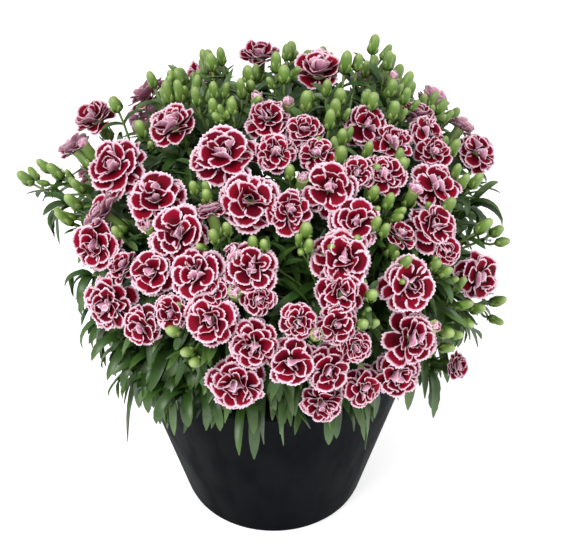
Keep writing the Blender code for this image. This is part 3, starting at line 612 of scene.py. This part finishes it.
def heads_on_dome():
    """Place, facing, radius, openness and layers of each head, by the rule that the frame follows."""
    placed = []
    for number, (x, y, across) in enumerate(HEADS_IN_VIEW):
        point, normal = on_dome(x, y)
        axis = leaned(point, normal, number)
        openness = HALF_OPEN if across < HALF_OPEN_WIDTH else 1.0
        if number in SIDE_ON_HEADS:
            to_eye = (EYE - point).normalized()
            aside = axis - to_eye * (axis.dot(to_eye) - SIDE_ON_HEADS[number])
            axis, openness = (aside + Vector((0, 0, SIDE_ON_LIFT))).normalized(), SIDE_ON
        layers = FULL_LAYERS if number in FULL_HEADS else OPEN_LAYERS
        placed.append((point, axis, across * PIXEL / 2, openness, layers))
    for k in range(BACK_HEAD_TRIES):
        level = BACK_LEVELS[0] + (BACK_LEVELS[1] - BACK_LEVELS[0]) * (k + 0.5) / BACK_HEAD_TRIES
        ring = math.sqrt(1 - level * level)
        flat = Vector((ring * math.cos(GOLDEN_ANGLE * k), ring * math.sin(GOLDEN_ANGLE * k), level))
        point = DOME_CENTRE + flat * DOME_SIZE
        normal = Vector([flat[i] / DOME_SIZE[i] for i in range(3)]).normalized()
        hidden = flat.y > BACK_FROM and normal.dot((EYE - point).normalized()) < BACK_FACING
        if hidden and all((point - other[0]).length > BACK_SPACING for other in placed):
            share = (k % BACK_HEAD_WIDTHS) / (BACK_HEAD_WIDTHS - 1)
            width = BACK_HEAD_WIDTH[0] + (BACK_HEAD_WIDTH[1] - BACK_HEAD_WIDTH[0]) * share
            layers = FULL_LAYERS if k % 2 else OPEN_LAYERS
            placed.append((point, leaned(point, normal, len(placed)), width / 2, 1.0, layers))
    for x, y, across in OPENING_BUDS:
        point, normal = on_dome(x, y, BUD_LIFT)
        axis = (normal + Vector((0, 0, BUD_UPRIGHT))).normalized()
        placed.append((point, axis, across * PIXEL / 2, BURSTING, BUD_LAYERS))
    return placed


heads = heads_on_dome()

# each head belongs to the frame's group of heads that lies nearest to it
head_nodes = sorted(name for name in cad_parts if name.startswith("heads_"))
spots = [(point.co.copy(), name) for name in head_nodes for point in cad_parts[name].data.vertices]
near_heads = KDTree(len(spots))
for number, (spot, _) in enumerate(spots):
    near_heads.insert(spot, number)
near_heads.balance()
group_of = [spots[near_heads.find(head[0])[1]][1] for head in heads]
# a group that none is nearest to takes one from a group that has several
for name in head_nodes:
    if name not in group_of:
        low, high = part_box(name)
        middle = (low + high) / 2
        spare = [n for n in range(len(heads)) if group_of.count(group_of[n]) > 1]
        group_of[min(spare, key=lambda n: (heads[n][0] - middle).length)] = name

front_finish, back_finish = petal_front(), petal_behind()
for name in head_nodes:
    own = [n for n in range(len(heads)) if group_of[n] == name]
    meshes = [head_mesh(*heads[n], random.Random(HEAD_SEED + n)) for n in own]
    blooms = piece_of(name.replace("heads", "blooms"), meshes, [front_finish, back_finish])
    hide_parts(name)
    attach(blooms, "root")

# The leafy stems: soft green stems that branch into flower stalks, with narrow arching leaves in
# opposite pairs at their joints. Each stalk ends in a calyx under a head or in a pointed bud.
stem_luck = random.Random(21)
STEM_FOOT = 0.134
STEM_MOUTH = 0.162
# two rings of main stems: how many, the radius of the ring and where it starts, in radians
STEM_RINGS = ((5, 0.034, 0.3), (9, 0.082, 0.1))
# how far up a stem bends, how far its top leans out, and how high it ends in the middle and outside
STEM_BEND = 0.58
STEM_SPREAD, STEM_TOP, STEM_FALL = 1.25, 0.072, 0.75
STEM_RADIUS = 0.0021
STEM_SIDES = 8
# a tube's first ring is squared to the one of these that its path is further from
NEARLY_UP, SIDEWAYS = (0.3, 0.2, 0.93), (1, 0, 0)
STEEP = 0.9
STALK_RADIUS = 0.0009
STALK_STEPS, STALK_SIDES = 7, 6
STALK_PULL = 0.42
# where a stalk may leave its stem, how much it has to point ahead, where it leaves the first stem
# if it can't, and what makes another place better
ROOT_SHARES = (0.30, 0.42, 0.54, 0.66, 0.78, 0.90, 0.98)
ROOT_AHEAD = 0.25
LAST_ROOT = 0.9
LOW_ROOT_COST, ROOT_LUCK = 0.02, 0.012
CALYX_LENGTH = 0.017
CALYX_RADIUS = 0.0040
# outlines of a calyx and a bud: share of its length and of its radius
CALYX_OUTLINE = ((0, 0.35), (0.12, 0.75), (0.35, 0.98), (0.6, 1.0), (0.85, 0.98), (1.0, 1.12))
BUD_OUTLINE = (
    (0, 0.35), (0.10, 0.72), (0.28, 0.93), (0.48, 1.0), (0.70, 0.94), (0.86, 0.76), (0.96, 0.46),
    (1.0, 0.14),
)
BUD_SIDES = 8
# a bract: share of its length, half its width and how far it stands out, as shares of the bud's radius
BRACT_ROWS = ((0.0, 0.45, 0.0), (0.35, 0.72, 0.64), (0.7, 0.42, 0.76), (1.0, 0.03, 0.72))
BRACTS = 4
BRACT_RIB = 0.12
BRACT_THICKNESS = 0.0003
BRACT_SHIFT = 0.2
BRACT_LENGTHS = (0.42, 0.66)
BRACT_SEAT = (0.03, 0.25)
CALYX_BRACT_LENGTH, CALYX_BRACT_SEAT = 0.5, 0.5
# how much each part has of the buds' brighter green, and the shade of parts that don't differ
STEM_GREEN, STALK_GREEN, LOW_STALK_GREEN = 0.35, 0.5, 0.2
BRACT_GREEN, CALYX_GREEN, BUD_GREEN = 0.70, 0.75, 0.85
EVEN, LOW_STALK_SHADE = 0.5, 0.3
# joints with a pair of leaves on the stalk of a head and of a bud: place on the stalk, size of the pair
HEAD_JOINTS = ((0.45, 0.9), (0.8, 0.5))
BUD_JOINTS = ((0.5, 0.8), (0.86, 0.4))
# leaves stay out of each head's space: its width and its depth behind the petals, as shares of the
# head's radius, and its depth before them in metres
HEAD_CLEAR, BEHIND_HEAD, BEFORE_HEAD = 1.02, 0.30, 0.05
BACK_BUDS = 30
BACK_BUD_TRIES = 12
BACK_BUD_TURN, BACK_BUD_LEVEL = (0.1, 0.9), (-0.3, 0.85)
# x and y of the closed buds that face the front, in pixels of the picture
BUDS_IN_VIEW = (
    (115, 104), (152, 80), (168, 92), (179, 91), (211, 62), (221, 56), (196, 96), (214, 90),
    (213, 106), (232, 106), (241, 88), (141, 129), (25, 178), (44, 166), (55, 171), (78, 186),
    (73, 202), (64, 218), (117, 232), (194, 188), (207, 196), (227, 229), (214, 236),
    (253, 243), (264, 245), (248, 74), (276, 62), (284, 74), (374, 44), (388, 60), (346, 62),
    (358, 62), (392, 88), (406, 96), (394, 110), (373, 101), (340, 96), (327, 88), (306, 101),
    (335, 108), (330, 119), (342, 137), (341, 155), (368, 150), (402, 165), (454, 148),
    (290, 172), (374, 193), (389, 201), (449, 205), (476, 181), (463, 182), (484, 226),
    (497, 231), (309, 246), (306, 230), (376, 224), (385, 230), (406, 262), (436, 265),
    (446, 272), (173, 331), (187, 352), (195, 362), (372, 295), (363, 324), (464, 305),
    (498, 301), (478, 309), (447, 333), (447, 348),
)
TOP_BUDS_OVER = 125
TOP_BUD_LIFT = 1.13
BUD_LENGTH = (0.0115, 0.0175)
BUD_RADIUS = (0.0030, 0.0042)
JOINT_BELOW_BUD = 0.012
# younger buds on short stalks beside a bud: how many, their lean, size, place and plumpness
YOUNGER_BUDS = (0, 1, 1, 2)
YOUNG_LEAN, YOUNG_SIZE, YOUNG_ASIDE, YOUNG_PLUMPER = (0.3, 0.7), (0.65, 0.95), 0.25, 1.1
YOUNG_STALK_STEPS, YOUNG_STALK_SIDES = 3, 5
LEAF_LENGTH = (0.034, 0.056)
LEAF_WIDTH = (0.0055, 0.0088)
LEAF_STEPS = 8
LEAF_THICKNESS = 0.0004
LEAF_FOLD = 0.42
LEAF_SWAY = 0.7
LEAF_TWIST = 0.9
LEAF_STEEPNESS = (0.6, 1.3)
# half the width of a leaf along it: its foot, how fast it widens, how blunt it ends and its narrowest
LEAF_FOOT, LEAF_WIDENING, LEAF_BLUNT, LEAF_TIP = 0.60, 1.4, 7, 0.10
LEAF_TRIES = 5
SHORTER_EACH_TRY = 0.12
NARROWEST_PAIR = 0.35
LEAF_DROOP = (0.4, 1.6)
# x and y of leafy tufts that show low on the plant and at its sides, in pixels of the picture
TUFTS_IN_VIEW = (
    (130, 344), (142, 354), (156, 358), (170, 352), (184, 344), (144, 368), (158, 376), (172, 370),
    (186, 378), (200, 366), (170, 388), (186, 392), (202, 388), (212, 344), (226, 352), (112, 322),
    (216, 372), (134, 334), (452, 310), (446, 296), (438, 330), (430, 370), (458, 262), (468, 208),
    (70, 206), (92, 276), (440, 308), (384, 256), (372, 312), (384, 330),
)
TUFT_LIFT = 0.80
TUFT_SIZE = 0.72
TUFT_PAIRS = 3
TUFT_DROOP = (1.2, 3.2)
# shoots under the heads, which end in a tuft: how many, where, their size and that of the highest
SHOOTS = 170
SHOOT_PAIRS = 3
SHOOT_UPRIGHT = 0.4
SHOOT_SIZE, SHOOT_SMALLER_UP = 0.95, 0.55
SHOOT_JOINT = 0.5
SHOOT_LEVELS = (-0.42, 0.86)
SHOOT_REACH = (0.62, 0.78)
BACK_SHOOTS_FURTHER = 0.12
# low leaves over the rim: how far inside and above it they start, and how they arch from there
SKIRT_LEAVES = 400
SKIRT_INSIDE = (0.006, 0.040)
SKIRT_ABOVE = (0.001, 0.034)
SKIRT_LENGTH = (0.028, 0.052)
LONG_SKIRT_LEAF = 1.4
SKIRT_WIDTH = (0.0058, 0.0088)
SKIRT_DROOP = (1.5, 3.4)
SKIRT_UNEVEN, SKIRT_ASIDE, SKIRT_TWIST, SKIRT_EARLY = 0.4, 0.9, 1.4, 0.7
SKIRT_FROM, SKIRT_RISE, SKIRT_STEEP = (0.05, 0.4), 0.5, (0.1, 1.1)
SKIRT_STALK_STEPS, SKIRT_STALK_SIDES = 4, 5
SKIRT_TRIES = 12
LONG_LEAF_EVERY = 5
RIM_CLEAR = 0.001
# leaf greens from dark to light, by each leaf's own tone and by the way along it: the dark foot is partly
# painted shade, the light tip partly a painted highlight; stems and stalks take them along their length too
LEAF_GREENS_AND_PAINTED_LIGHT = ((0.0, (0.014, 0.046, 0.006)), (0.5, (0.036, 0.090, 0.014)), (1.0, (0.095, 0.180, 0.036)))
# bud greens from the foot to the tip: the dark foot is partly painted shade, the light tip partly a painted
# highlight where buds point up to the lamps
BUD_GREENS_AND_PAINTED_LIGHT = ((0.0, (0.065, 0.14, 0.020)), (0.55, (0.17, 0.29, 0.050)), (1.0, (0.36, 0.46, 0.15)))
LEAF_PATCHES, PATCH_NOISE = ((0.3, (0.72,) * 3), (0.7, (1.0,) * 3)), (90, 3)
# a leaf this near to upright takes its width along X, and one this near to hanging bends no more
UPRIGHT_LEAF, HANGING_LEAF = 0.05, 0.08
LEAF_FIBRES = (700, 2, 0.2, 0.0003)


def tube_mesh(path, radii, sides, tint):
    """A round tube along a path, closed at both ends; tint is its share of bud green, and its shade."""
    path = np.array([tuple(p) for p in path])
    ahead = np.gradient(path, axis=0)
    ahead /= np.linalg.norm(ahead, axis=1)[:, None]
    side = np.cross(ahead[0], NEARLY_UP if abs(ahead[0][2]) < STEEP else SIDEWAYS)
    rings = []
    for k in range(len(path)):
        side = side - ahead[k] * side.dot(ahead[k])
        side /= np.linalg.norm(side)
        other = np.cross(ahead[k], side)
        turns = np.linspace(0, 2 * math.pi, sides, endpoint=False)[:, None]
        rings.append(path[k] + radii[k] * (np.cos(turns) * side + np.sin(turns) * other))
    points = np.concatenate(rings + [path[:1], path[-1:]])
    faces = [
        (k * sides + i, k * sides + (i + 1) % sides, (k + 1) * sides + (i + 1) % sides, (k + 1) * sides + i)
        for k in range(len(path) - 1) for i in range(sides)
    ]
    foot, tip, last = len(points) - 2, len(points) - 1, (len(path) - 1) * sides
    faces += [(foot, (i + 1) % sides, i) for i in range(sides)]
    faces += [(tip, last + i, last + (i + 1) % sides) for i in range(sides)]
    share = np.concatenate([np.repeat(np.linspace(0, 1, len(path)), sides), [0, 1]])
    tints = np.stack([np.full_like(share, tint[0]), share, np.full_like(share, tint[1])], axis=-1)
    return points, faces, [0] * len(faces), tints


def curve_points(start, start_axis, end, end_axis, steps):
    """Points of a smooth stalk between two places with a direction at each."""
    pull = (end - start).length * STALK_PULL
    a, b = start + start_axis * pull, end - end_axis * pull
    points = []
    for k in range(steps + 1):
        t = k / steps
        points.append(
            start * (1 - t) ** 3 + a * 3 * t * (1 - t) ** 2
            + b * 3 * t * t * (1 - t) + end * t ** 3
        )
    return points


def leaf_mesh(root, heading, length, width, droop, twist, luck, early=0.0):
    """A narrow leaf folded along its rib, arching down by droop; early bends it more near its foot."""
    ahead = heading.normalized()
    down = Vector((0, 0, -1))
    across = ahead.cross(Vector((0, 0, 1)))
    across = across.normalized() if across.length > UPRIGHT_LEAF else Vector(SIDEWAYS)
    sway = luck.uniform(-LEAF_SWAY, LEAF_SWAY)
    point, rings, below, shares = root.copy(), [], [], []
    for k in range(LEAF_STEPS + 1):
        share = k / LEAF_STEPS
        outline = min(1.0, LEAF_FOOT + LEAF_WIDENING * share) * (1 - share ** LEAF_BLUNT)
        half = width / 2 * max(LEAF_TIP, outline)
        turned = Quaternion(ahead, twist * share) @ across
        upward = turned.cross(ahead).normalized()
        fold = half * LEAF_FOLD
        rings.append((point - turned * half + upward * fold, point, point + turned * half + upward * fold))
        below.append(point - upward * LEAF_THICKNESS)
        point = point + ahead * length / LEAF_STEPS
        axis = ahead.cross(down)
        if axis.length > HANGING_LEAF:
            bend = droop * (1 + early * (1 - 2 * (k + 0.5) / LEAF_STEPS)) / LEAF_STEPS
            ahead = Quaternion(axis.normalized(), bend) @ ahead
        ahead = Quaternion(Vector((0, 0, 1)), sway / LEAF_STEPS) @ ahead
        across = (across - ahead * across.dot(ahead)).normalized()
        shares.append(share)
    points = [tuple(p) for ring in rings for p in ring] + [tuple(p) for p in below]
    under = 3 * len(rings)
    faces = []
    for k in range(LEAF_STEPS):
        a, b = 3 * k, 3 * (k + 1)
        faces += [(a, b, b + 1, a + 1), (a + 1, b + 1, b + 2, a + 2)]
        faces += [(a, under + k, under + k + 1, b), (a + 2, b + 2, under + k + 1, under + k)]
    last = 3 * LEAF_STEPS
    faces += [(0, 1, 2, under), (last, under + LEAF_STEPS, last + 2, last + 1)]
    along = np.array([s for s in shares for _ in range(3)] + shares)
    tints = np.stack([np.zeros_like(along), along, np.full_like(along, luck.random())], axis=-1)
    return np.array(points), [tuple(reversed(f)) for f in faces], [0] * len(faces), tints


def lathed(foot, axis, length, radius, outline, green, luck):
    """A round body along axis from an outline of shares of its length and radius."""
    path = [foot + axis * length * along for along, _ in outline]
    return tube_mesh(path, [radius * out for _, out in outline], BUD_SIDES, (green, luck.random()))


def bud_mesh(foot, axis, length, radius, luck):
    """A pointed bud: its closed sepals, a few short bracts round its foot, and a light tip, partly a painted
    highlight of its green.
    """
    meshes = [lathed(foot, axis, length, radius, BUD_OUTLINE, BUD_GREEN, luck)]
    side = axis.orthogonal().normalized()
    for k in range(BRACTS):
        turn = k * 2 * math.pi / BRACTS + luck.uniform(-BRACT_SHIFT, BRACT_SHIFT)
        out = Quaternion(axis, turn) @ side
        base = foot - axis * length * BRACT_SEAT[0] + out * radius * BRACT_SEAT[1]
        meshes.append(bract_mesh(base, axis, out, length * luck.uniform(*BRACT_LENGTHS), radius))
    return meshes


def bract_mesh(base, axis, out, length, radius):
    """A short pointed scale that hugs the foot of a bud or calyx."""
    across = axis.cross(out).normalized()
    points, tints = [], []
    for share, half, stand in BRACT_ROWS:
        middle = base + axis * length * share + out * radius * stand
        side = across * radius * half
        points += [tuple(middle - side), tuple(middle + out * radius * BRACT_RIB), tuple(middle + side)]
        tints += [(BRACT_GREEN, share, EVEN)] * 3
    # the inner skin has the same points a hair further in, from number behind on
    behind = len(points)
    points += [tuple(Vector(p) - out * BRACT_THICKNESS) for p in points[:]]
    tints += tints
    faces = []
    for k in range(len(BRACT_ROWS) - 1):
        a, b = 3 * k, 3 * k + 3
        front = [(a, a + 1, b + 1, b), (a + 1, a + 2, b + 2, b + 1)]
        faces += front + [tuple(behind + i for i in reversed(face)) for face in front]
        faces += [(a, b, b + behind, a + behind), (a + 2, a + 2 + behind, b + 2 + behind, b + 2)]
    faces += [(0, behind, behind + 1, 1), (1, behind + 1, behind + 2, 2)]
    last = 3 * (len(BRACT_ROWS) - 1)
    for i in (last, last + 1):
        faces.append((i, i + 1, i + 1 + behind, i + behind))
    return np.array(points), faces, [0] * len(faces), np.array(tints)


def calyx_mesh(top, axis, luck):
    """The foot of the green tube under a head, and its meshes, with bracts round it."""
    foot = top - axis * CALYX_LENGTH
    meshes = [lathed(foot, axis, CALYX_LENGTH, CALYX_RADIUS, CALYX_OUTLINE, CALYX_GREEN, luck)]
    side = axis.orthogonal().normalized()
    for k in range(BRACTS):
        out = Quaternion(axis, k * 2 * math.pi / BRACTS) @ side
        base = foot + out * CALYX_RADIUS * CALYX_BRACT_SEAT
        meshes.append(bract_mesh(base, axis, out, CALYX_LENGTH * CALYX_BRACT_LENGTH, CALYX_RADIUS))
    return foot, meshes


def leaf_green():
    """Soft green: darker in leaves, brighter in buds, lighter in some leaves at random, and darker at the
    foot and lighter towards the tip of each part, partly as painted shade and painted highlight.
    """
    made, nodes, links, shader = new_material("leaf_green", 0.42)
    bud_share, along_leaf, own = tint_parts(nodes, links)[:3]
    place = nodes.new("ShaderNodeTexCoord").outputs["Object"]
    # painted light, partly: the green grows lighter towards the tip of each leaf, stalk and stem and darker
    # towards its foot
    tone_and_painted_light = maths(nodes, links, "MULTIPLY", maths(nodes, links, "ADD", own, along_leaf), 0.5)
    leaf = shades(nodes, links, tone_and_painted_light, LEAF_GREENS_AND_PAINTED_LIGHT)
    # painted light, partly: a bud's green is dark at its foot and light at its tip
    bud = shades(nodes, links, along_leaf, BUD_GREENS_AND_PAINTED_LIGHT)
    greens = blended(nodes, links, bud_share, leaf, bud)
    patches = shades(nodes, links, noise(nodes, links, *PATCH_NOISE, place), LEAF_PATCHES)
    links.new(blended(nodes, links, 1.0, greens, patches, "MULTIPLY"), shader.inputs["Base Color"])
    relief(nodes, links, shader, place, *LEAF_FIBRES)
    return made


stems = []
for count, ring, start in STEM_RINGS:
    for k in range(count):
        angle = start + 2 * math.pi * k / count
        foot = Vector((ring * math.cos(angle), ring * math.sin(angle), STEM_FOOT))
        rise = STEM_TOP - foot.xy.length * STEM_FALL
        aim = DOME_CENTRE + Vector((foot.x * STEM_SPREAD, foot.y * STEM_SPREAD, rise))
        mouth = Vector((foot.x, foot.y, STEM_MOUTH))
        stems.append([foot, mouth, mouth.lerp(aim, STEM_BEND), aim])
stem_radii = [STEM_RADIUS] * 3 + [STALK_RADIUS]
greenery = [[tube_mesh(spine, stem_radii, STEM_SIDES, (STEM_GREEN, EVEN))] for spine in stems]


def stem_point(spine, share):
    """A point on a main stem above the soil, as a share of the way to its top."""
    return spine[1].lerp(spine[2], share * 2) if share <= 0.5 else spine[2].lerp(spine[3], share * 2 - 1)


def nearest_root(place, axis):
    """The stem and the place on it from which a stalk to place is shortest."""
    options = []
    for s, spine in enumerate(stems):
        for share in ROOT_SHARES:
            root = stem_point(spine, share)
            if (place - root).dot(axis) > ROOT_AHEAD * (place - root).length:
                cost = (place - root).length + LOW_ROOT_COST * (1 - share) + stem_luck.uniform(0, ROOT_LUCK)
                options.append((cost, s, root))
    if options:
        return min(options, key=lambda option: option[0])[1:]
    return 0, stem_point(stems[0], LAST_ROOT)


head_centres = np.array([tuple(head[0]) for head in heads])
head_axes = np.array([tuple(head[1]) for head in heads])
head_radii = np.array([head[2] for head in heads])


def over_a_head(points):
    """Whether any of the points lies in a head's petals or in front of them."""
    away = points[:, None, :] - head_centres
    height = (away * head_axes).sum(-1)
    flat = np.linalg.norm(away - height[..., None] * head_axes, axis=-1)
    beside = flat < head_radii * HEAD_CLEAR
    return bool((beside & (height > -BEHIND_HEAD * head_radii) & (height < BEFORE_HEAD)).any())


def leaf_pair(s, place, ahead, size, droop):
    """Two opposite leaves at a joint of a stalk or stem, shorter where a head is in their way."""
    side = Quaternion(ahead, stem_luck.uniform(0, 2 * math.pi)) @ ahead.orthogonal().normalized()
    for half in (1, -1):
        length, width = stem_luck.uniform(*LEAF_LENGTH) * size, stem_luck.uniform(*LEAF_WIDTH)
        for trial in range(LEAF_TRIES):
            heading = side * half + ahead * stem_luck.uniform(*LEAF_STEEPNESS)
            leaf = leaf_mesh(
                place, heading, length * (1 - SHORTER_EACH_TRY * trial),
                width * min(1, NARROWEST_PAIR + (1 - NARROWEST_PAIR) * size),
                stem_luck.uniform(*droop), stem_luck.uniform(-LEAF_TWIST, LEAF_TWIST), stem_luck,
            )
            if not over_a_head(leaf[0]):
                greenery[s].append(leaf)
                break


def grow_stalk(foot, axis, joints):
    """A stalk from the nearest stem up to foot, with a pair of leaves of some size at each joint."""
    s, root = nearest_root(foot, axis)
    up = (stems[s][3] - stems[s][1]).normalized()
    path = curve_points(root, (up + (foot - root).normalized()).normalized(), foot, axis, STALK_STEPS)
    radii = [STALK_RADIUS] * len(path)
    greenery[s].append(tube_mesh(path, radii, STALK_SIDES, (STALK_GREEN, stem_luck.random())))
    for joint, size in joints:
        k = int(joint * STALK_STEPS)
        ahead = (path[min(k + 1, STALK_STEPS)] - path[k - 1]).normalized()
        leaf_pair(s, path[k], ahead, size, LEAF_DROOP)
    return s


for point, axis, radius, _, _ in heads:
    foot, meshes = calyx_mesh(point - axis * radius * HEAD_SINK, axis, stem_luck)
    greenery[grow_stalk(foot, axis, HEAD_JOINTS)].extend(meshes)

# buds near the top stand on longer stalks
bud_places = [on_dome(x, y, TOP_BUD_LIFT if y < TOP_BUDS_OVER else BUD_LIFT) for x, y in BUDS_IN_VIEW]
for _ in range(BACK_BUDS):
    for _ in range(BACK_BUD_TRIES):
        around = stem_luck.uniform(*BACK_BUD_TURN) * math.pi
        level = stem_luck.uniform(*BACK_BUD_LEVEL)
        ring = math.sqrt(1 - level * level)
        flat = Vector((ring * math.cos(around), ring * math.sin(around), level))
        place = DOME_CENTRE + flat * DOME_SIZE * BUD_LIFT
        if not over_a_head(np.array([place])):
            break
    bud_places.append((place, facing(flat)))
for point, normal in bud_places:
    axis = (normal + Vector((0, 0, BUD_UPRIGHT))).normalized()
    length = stem_luck.uniform(*BUD_LENGTH)
    foot = point - axis * length * 0.5
    meshes = bud_mesh(foot, axis, length, stem_luck.uniform(*BUD_RADIUS), stem_luck)
    s = grow_stalk(foot, axis, BUD_JOINTS)
    greenery[s].extend(meshes)
    # younger buds on short stalks from the same joint
    joint = foot - axis * JOINT_BELOW_BUD
    for _ in range(stem_luck.choice(YOUNGER_BUDS)):
        aside = Quaternion(axis, stem_luck.uniform(0, 2 * math.pi)) @ axis.orthogonal().normalized()
        lean = (axis + aside * stem_luck.uniform(*YOUNG_LEAN)).normalized()
        size = stem_luck.uniform(*YOUNG_SIZE)
        young = joint + lean * JOINT_BELOW_BUD * size + aside * length * YOUNG_ASIDE
        path = curve_points(joint, lean, young, axis, YOUNG_STALK_STEPS)
        radii = [STALK_RADIUS] * len(path)
        greenery[s].append(tube_mesh(path, radii, YOUNG_STALK_SIDES, (STALK_GREEN, EVEN)))
        radius = BUD_RADIUS[0] * size * YOUNG_PLUMPER
        greenery[s].extend(bud_mesh(young, lean, length * size, radius, stem_luck))

# shoots without a bud end in a tuft of leaves under the heads, smaller towards the top
for k in range(SHOOTS):
    level = SHOOT_LEVELS[0] + (SHOOT_LEVELS[1] - SHOOT_LEVELS[0]) * (k + 0.5) / SHOOTS
    ring = math.sqrt(1 - level * level)
    flat = Vector((ring * math.cos(GOLDEN_ANGLE * k), ring * math.sin(GOLDEN_ANGLE * k), level))
    reach = stem_luck.uniform(*SHOOT_REACH) * (1 + BACK_SHOOTS_FURTHER * max(0, flat.y))
    place = DOME_CENTRE + flat * DOME_SIZE * reach
    axis = (facing(flat) + Vector((0, 0, SHOOT_UPRIGHT))).normalized()
    size = SHOOT_SIZE - SHOOT_SMALLER_UP * max(0, level)
    s = grow_stalk(place, axis, ((SHOOT_JOINT, size),))
    for _ in range(SHOOT_PAIRS):
        leaf_pair(s, place, axis, size, LEAF_DROOP)

# tufts with more curled leaves show low on the plant
for x, y in TUFTS_IN_VIEW:
    place, axis = on_dome(x, y, TUFT_LIFT)
    s = grow_stalk(place, axis, ((SHOOT_JOINT, TUFT_SIZE),))
    for _ in range(TUFT_PAIRS):
        leaf_pair(s, place, axis, TUFT_SIZE, TUFT_DROOP)

# low leaves arch over the rim and hang close to the pot
outer = range(STEM_RINGS[0][0], len(stems))
for k in range(SKIRT_LEAVES):
    angle = 2 * math.pi * (k + stem_luck.uniform(-SKIRT_UNEVEN, SKIRT_UNEVEN)) / SKIRT_LEAVES
    out = Vector((math.cos(angle), math.sin(angle), 0))
    s = max(outer, key=lambda n: stems[n][0].xy.normalized().dot(out.xy))
    root = out * (RIM_RADIUS - stem_luck.uniform(*SKIRT_INSIDE))
    root += Vector((0, 0, POT_HEIGHT + stem_luck.uniform(*SKIRT_ABOVE)))
    start = stem_point(stems[s], stem_luck.uniform(*SKIRT_FROM))
    arrival = (out + Vector((0, 0, SKIRT_RISE))).normalized()
    path = curve_points(start, (root - start).normalized(), root, arrival, SKIRT_STALK_STEPS)
    radii = [STALK_RADIUS] * len(path)
    greenery[s].append(tube_mesh(path, radii, SKIRT_STALK_SIDES, (LOW_STALK_GREEN, LOW_STALK_SHADE)))
    longer = LONG_SKIRT_LEAF if k % LONG_LEAF_EVERY == 0 else 1
    for _ in range(SKIRT_TRIES):
        aside = Vector((-out.y, out.x, 0)) * stem_luck.uniform(-SKIRT_ASIDE, SKIRT_ASIDE)
        leaf = leaf_mesh(
            root, out + aside + Vector((0, 0, stem_luck.uniform(*SKIRT_STEEP))),
            stem_luck.uniform(*SKIRT_LENGTH) * longer, stem_luck.uniform(*SKIRT_WIDTH),
            stem_luck.uniform(*SKIRT_DROOP), stem_luck.uniform(-SKIRT_TWIST, SKIRT_TWIST), stem_luck,
            early=SKIRT_EARLY,
        )
        # what hangs below the rim hangs outside the pot
        low = leaf[0][leaf[0][:, 2] < POT_HEIGHT + RIM_CLEAR]
        if not len(low) or np.linalg.norm(low[:, :2], axis=1).min() > RIM_RADIUS + RIM_CLEAR:
            greenery[s].append(leaf)
            break

green_finish = leaf_green()
for s, meshes in enumerate(greenery):
    leafy = piece_of(f"foliage_{s + 1:02d}", meshes, [green_finish])
    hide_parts(f"leafy_stem_{s + 1:02d}")
    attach(leafy, "root")

# The studio: a pale seamless floor, a large soft light from the upper left, a weaker one from the
# right, and the camera at the height and distance from which the plant is usually seen.
FLOOR_SIZE, FLOOR_DROP = 12, 0.0005
FLOOR_GREY, FLOOR_GLOW = 0.90, 0.45
SKY_LIGHT = 0.75
# place, size and power of each soft light
KEY_LIGHT = ((-0.7, -0.9, 1.6), 0.9, 26)
FILL_LIGHT = ((1.3, -0.6, 1.0), 1.2, 9)
SENSOR_WIDTH = 36
PICTURE_WIDTH = 570
bpy.ops.mesh.primitive_plane_add(size=FLOOR_SIZE, location=(0, 0, -FLOOR_DROP))
floor = bpy.context.active_object
floor.name = "floor"
pale, _, _, pale_shader = new_material("pale_floor", 0.9)
pale_shader.inputs["Base Color"].default_value = (FLOOR_GREY, FLOOR_GREY, FLOOR_GREY, 1.0)
pale_shader.inputs["Emission Color"].default_value = (1.0, 1.0, 1.0, 1.0)
pale_shader.inputs["Emission Strength"].default_value = FLOOR_GLOW
floor.data.materials.append(pale)

world = bpy.data.worlds.new("studio")
bpy.context.scene.world = world
world.use_nodes = True
sky = world.node_tree.nodes["Background"]
sky.inputs["Color"].default_value = (1.0, 1.0, 1.0, 1.0)
sky.inputs["Strength"].default_value = SKY_LIGHT
bpy.context.scene.view_settings.view_transform = "Standard"


def soft_light(name, place, size, power):
    """A square light that faces the flowers."""
    bpy.ops.object.light_add(type="AREA", location=place)
    light = bpy.context.active_object
    light.name = name
    light.data.size = size
    light.data.energy = power
    light.rotation_euler = (DOME_CENTRE - Vector(place)).to_track_quat("-Z", "Y").to_euler()


soft_light("key_light", *KEY_LIGHT)
soft_light("fill_light", *FILL_LIGHT)

bpy.ops.object.camera_add(location=EYE)
camera = bpy.context.active_object
camera.rotation_euler = (math.pi / 2 - VIEW_TILT, 0, 0)
camera.data.sensor_width = SENSOR_WIDTH
camera.data.sensor_fit = "HORIZONTAL"
camera.data.lens = SENSOR_WIDTH * VIEW_FOCAL / PICTURE_WIDTH
bpy.context.scene.camera = camera
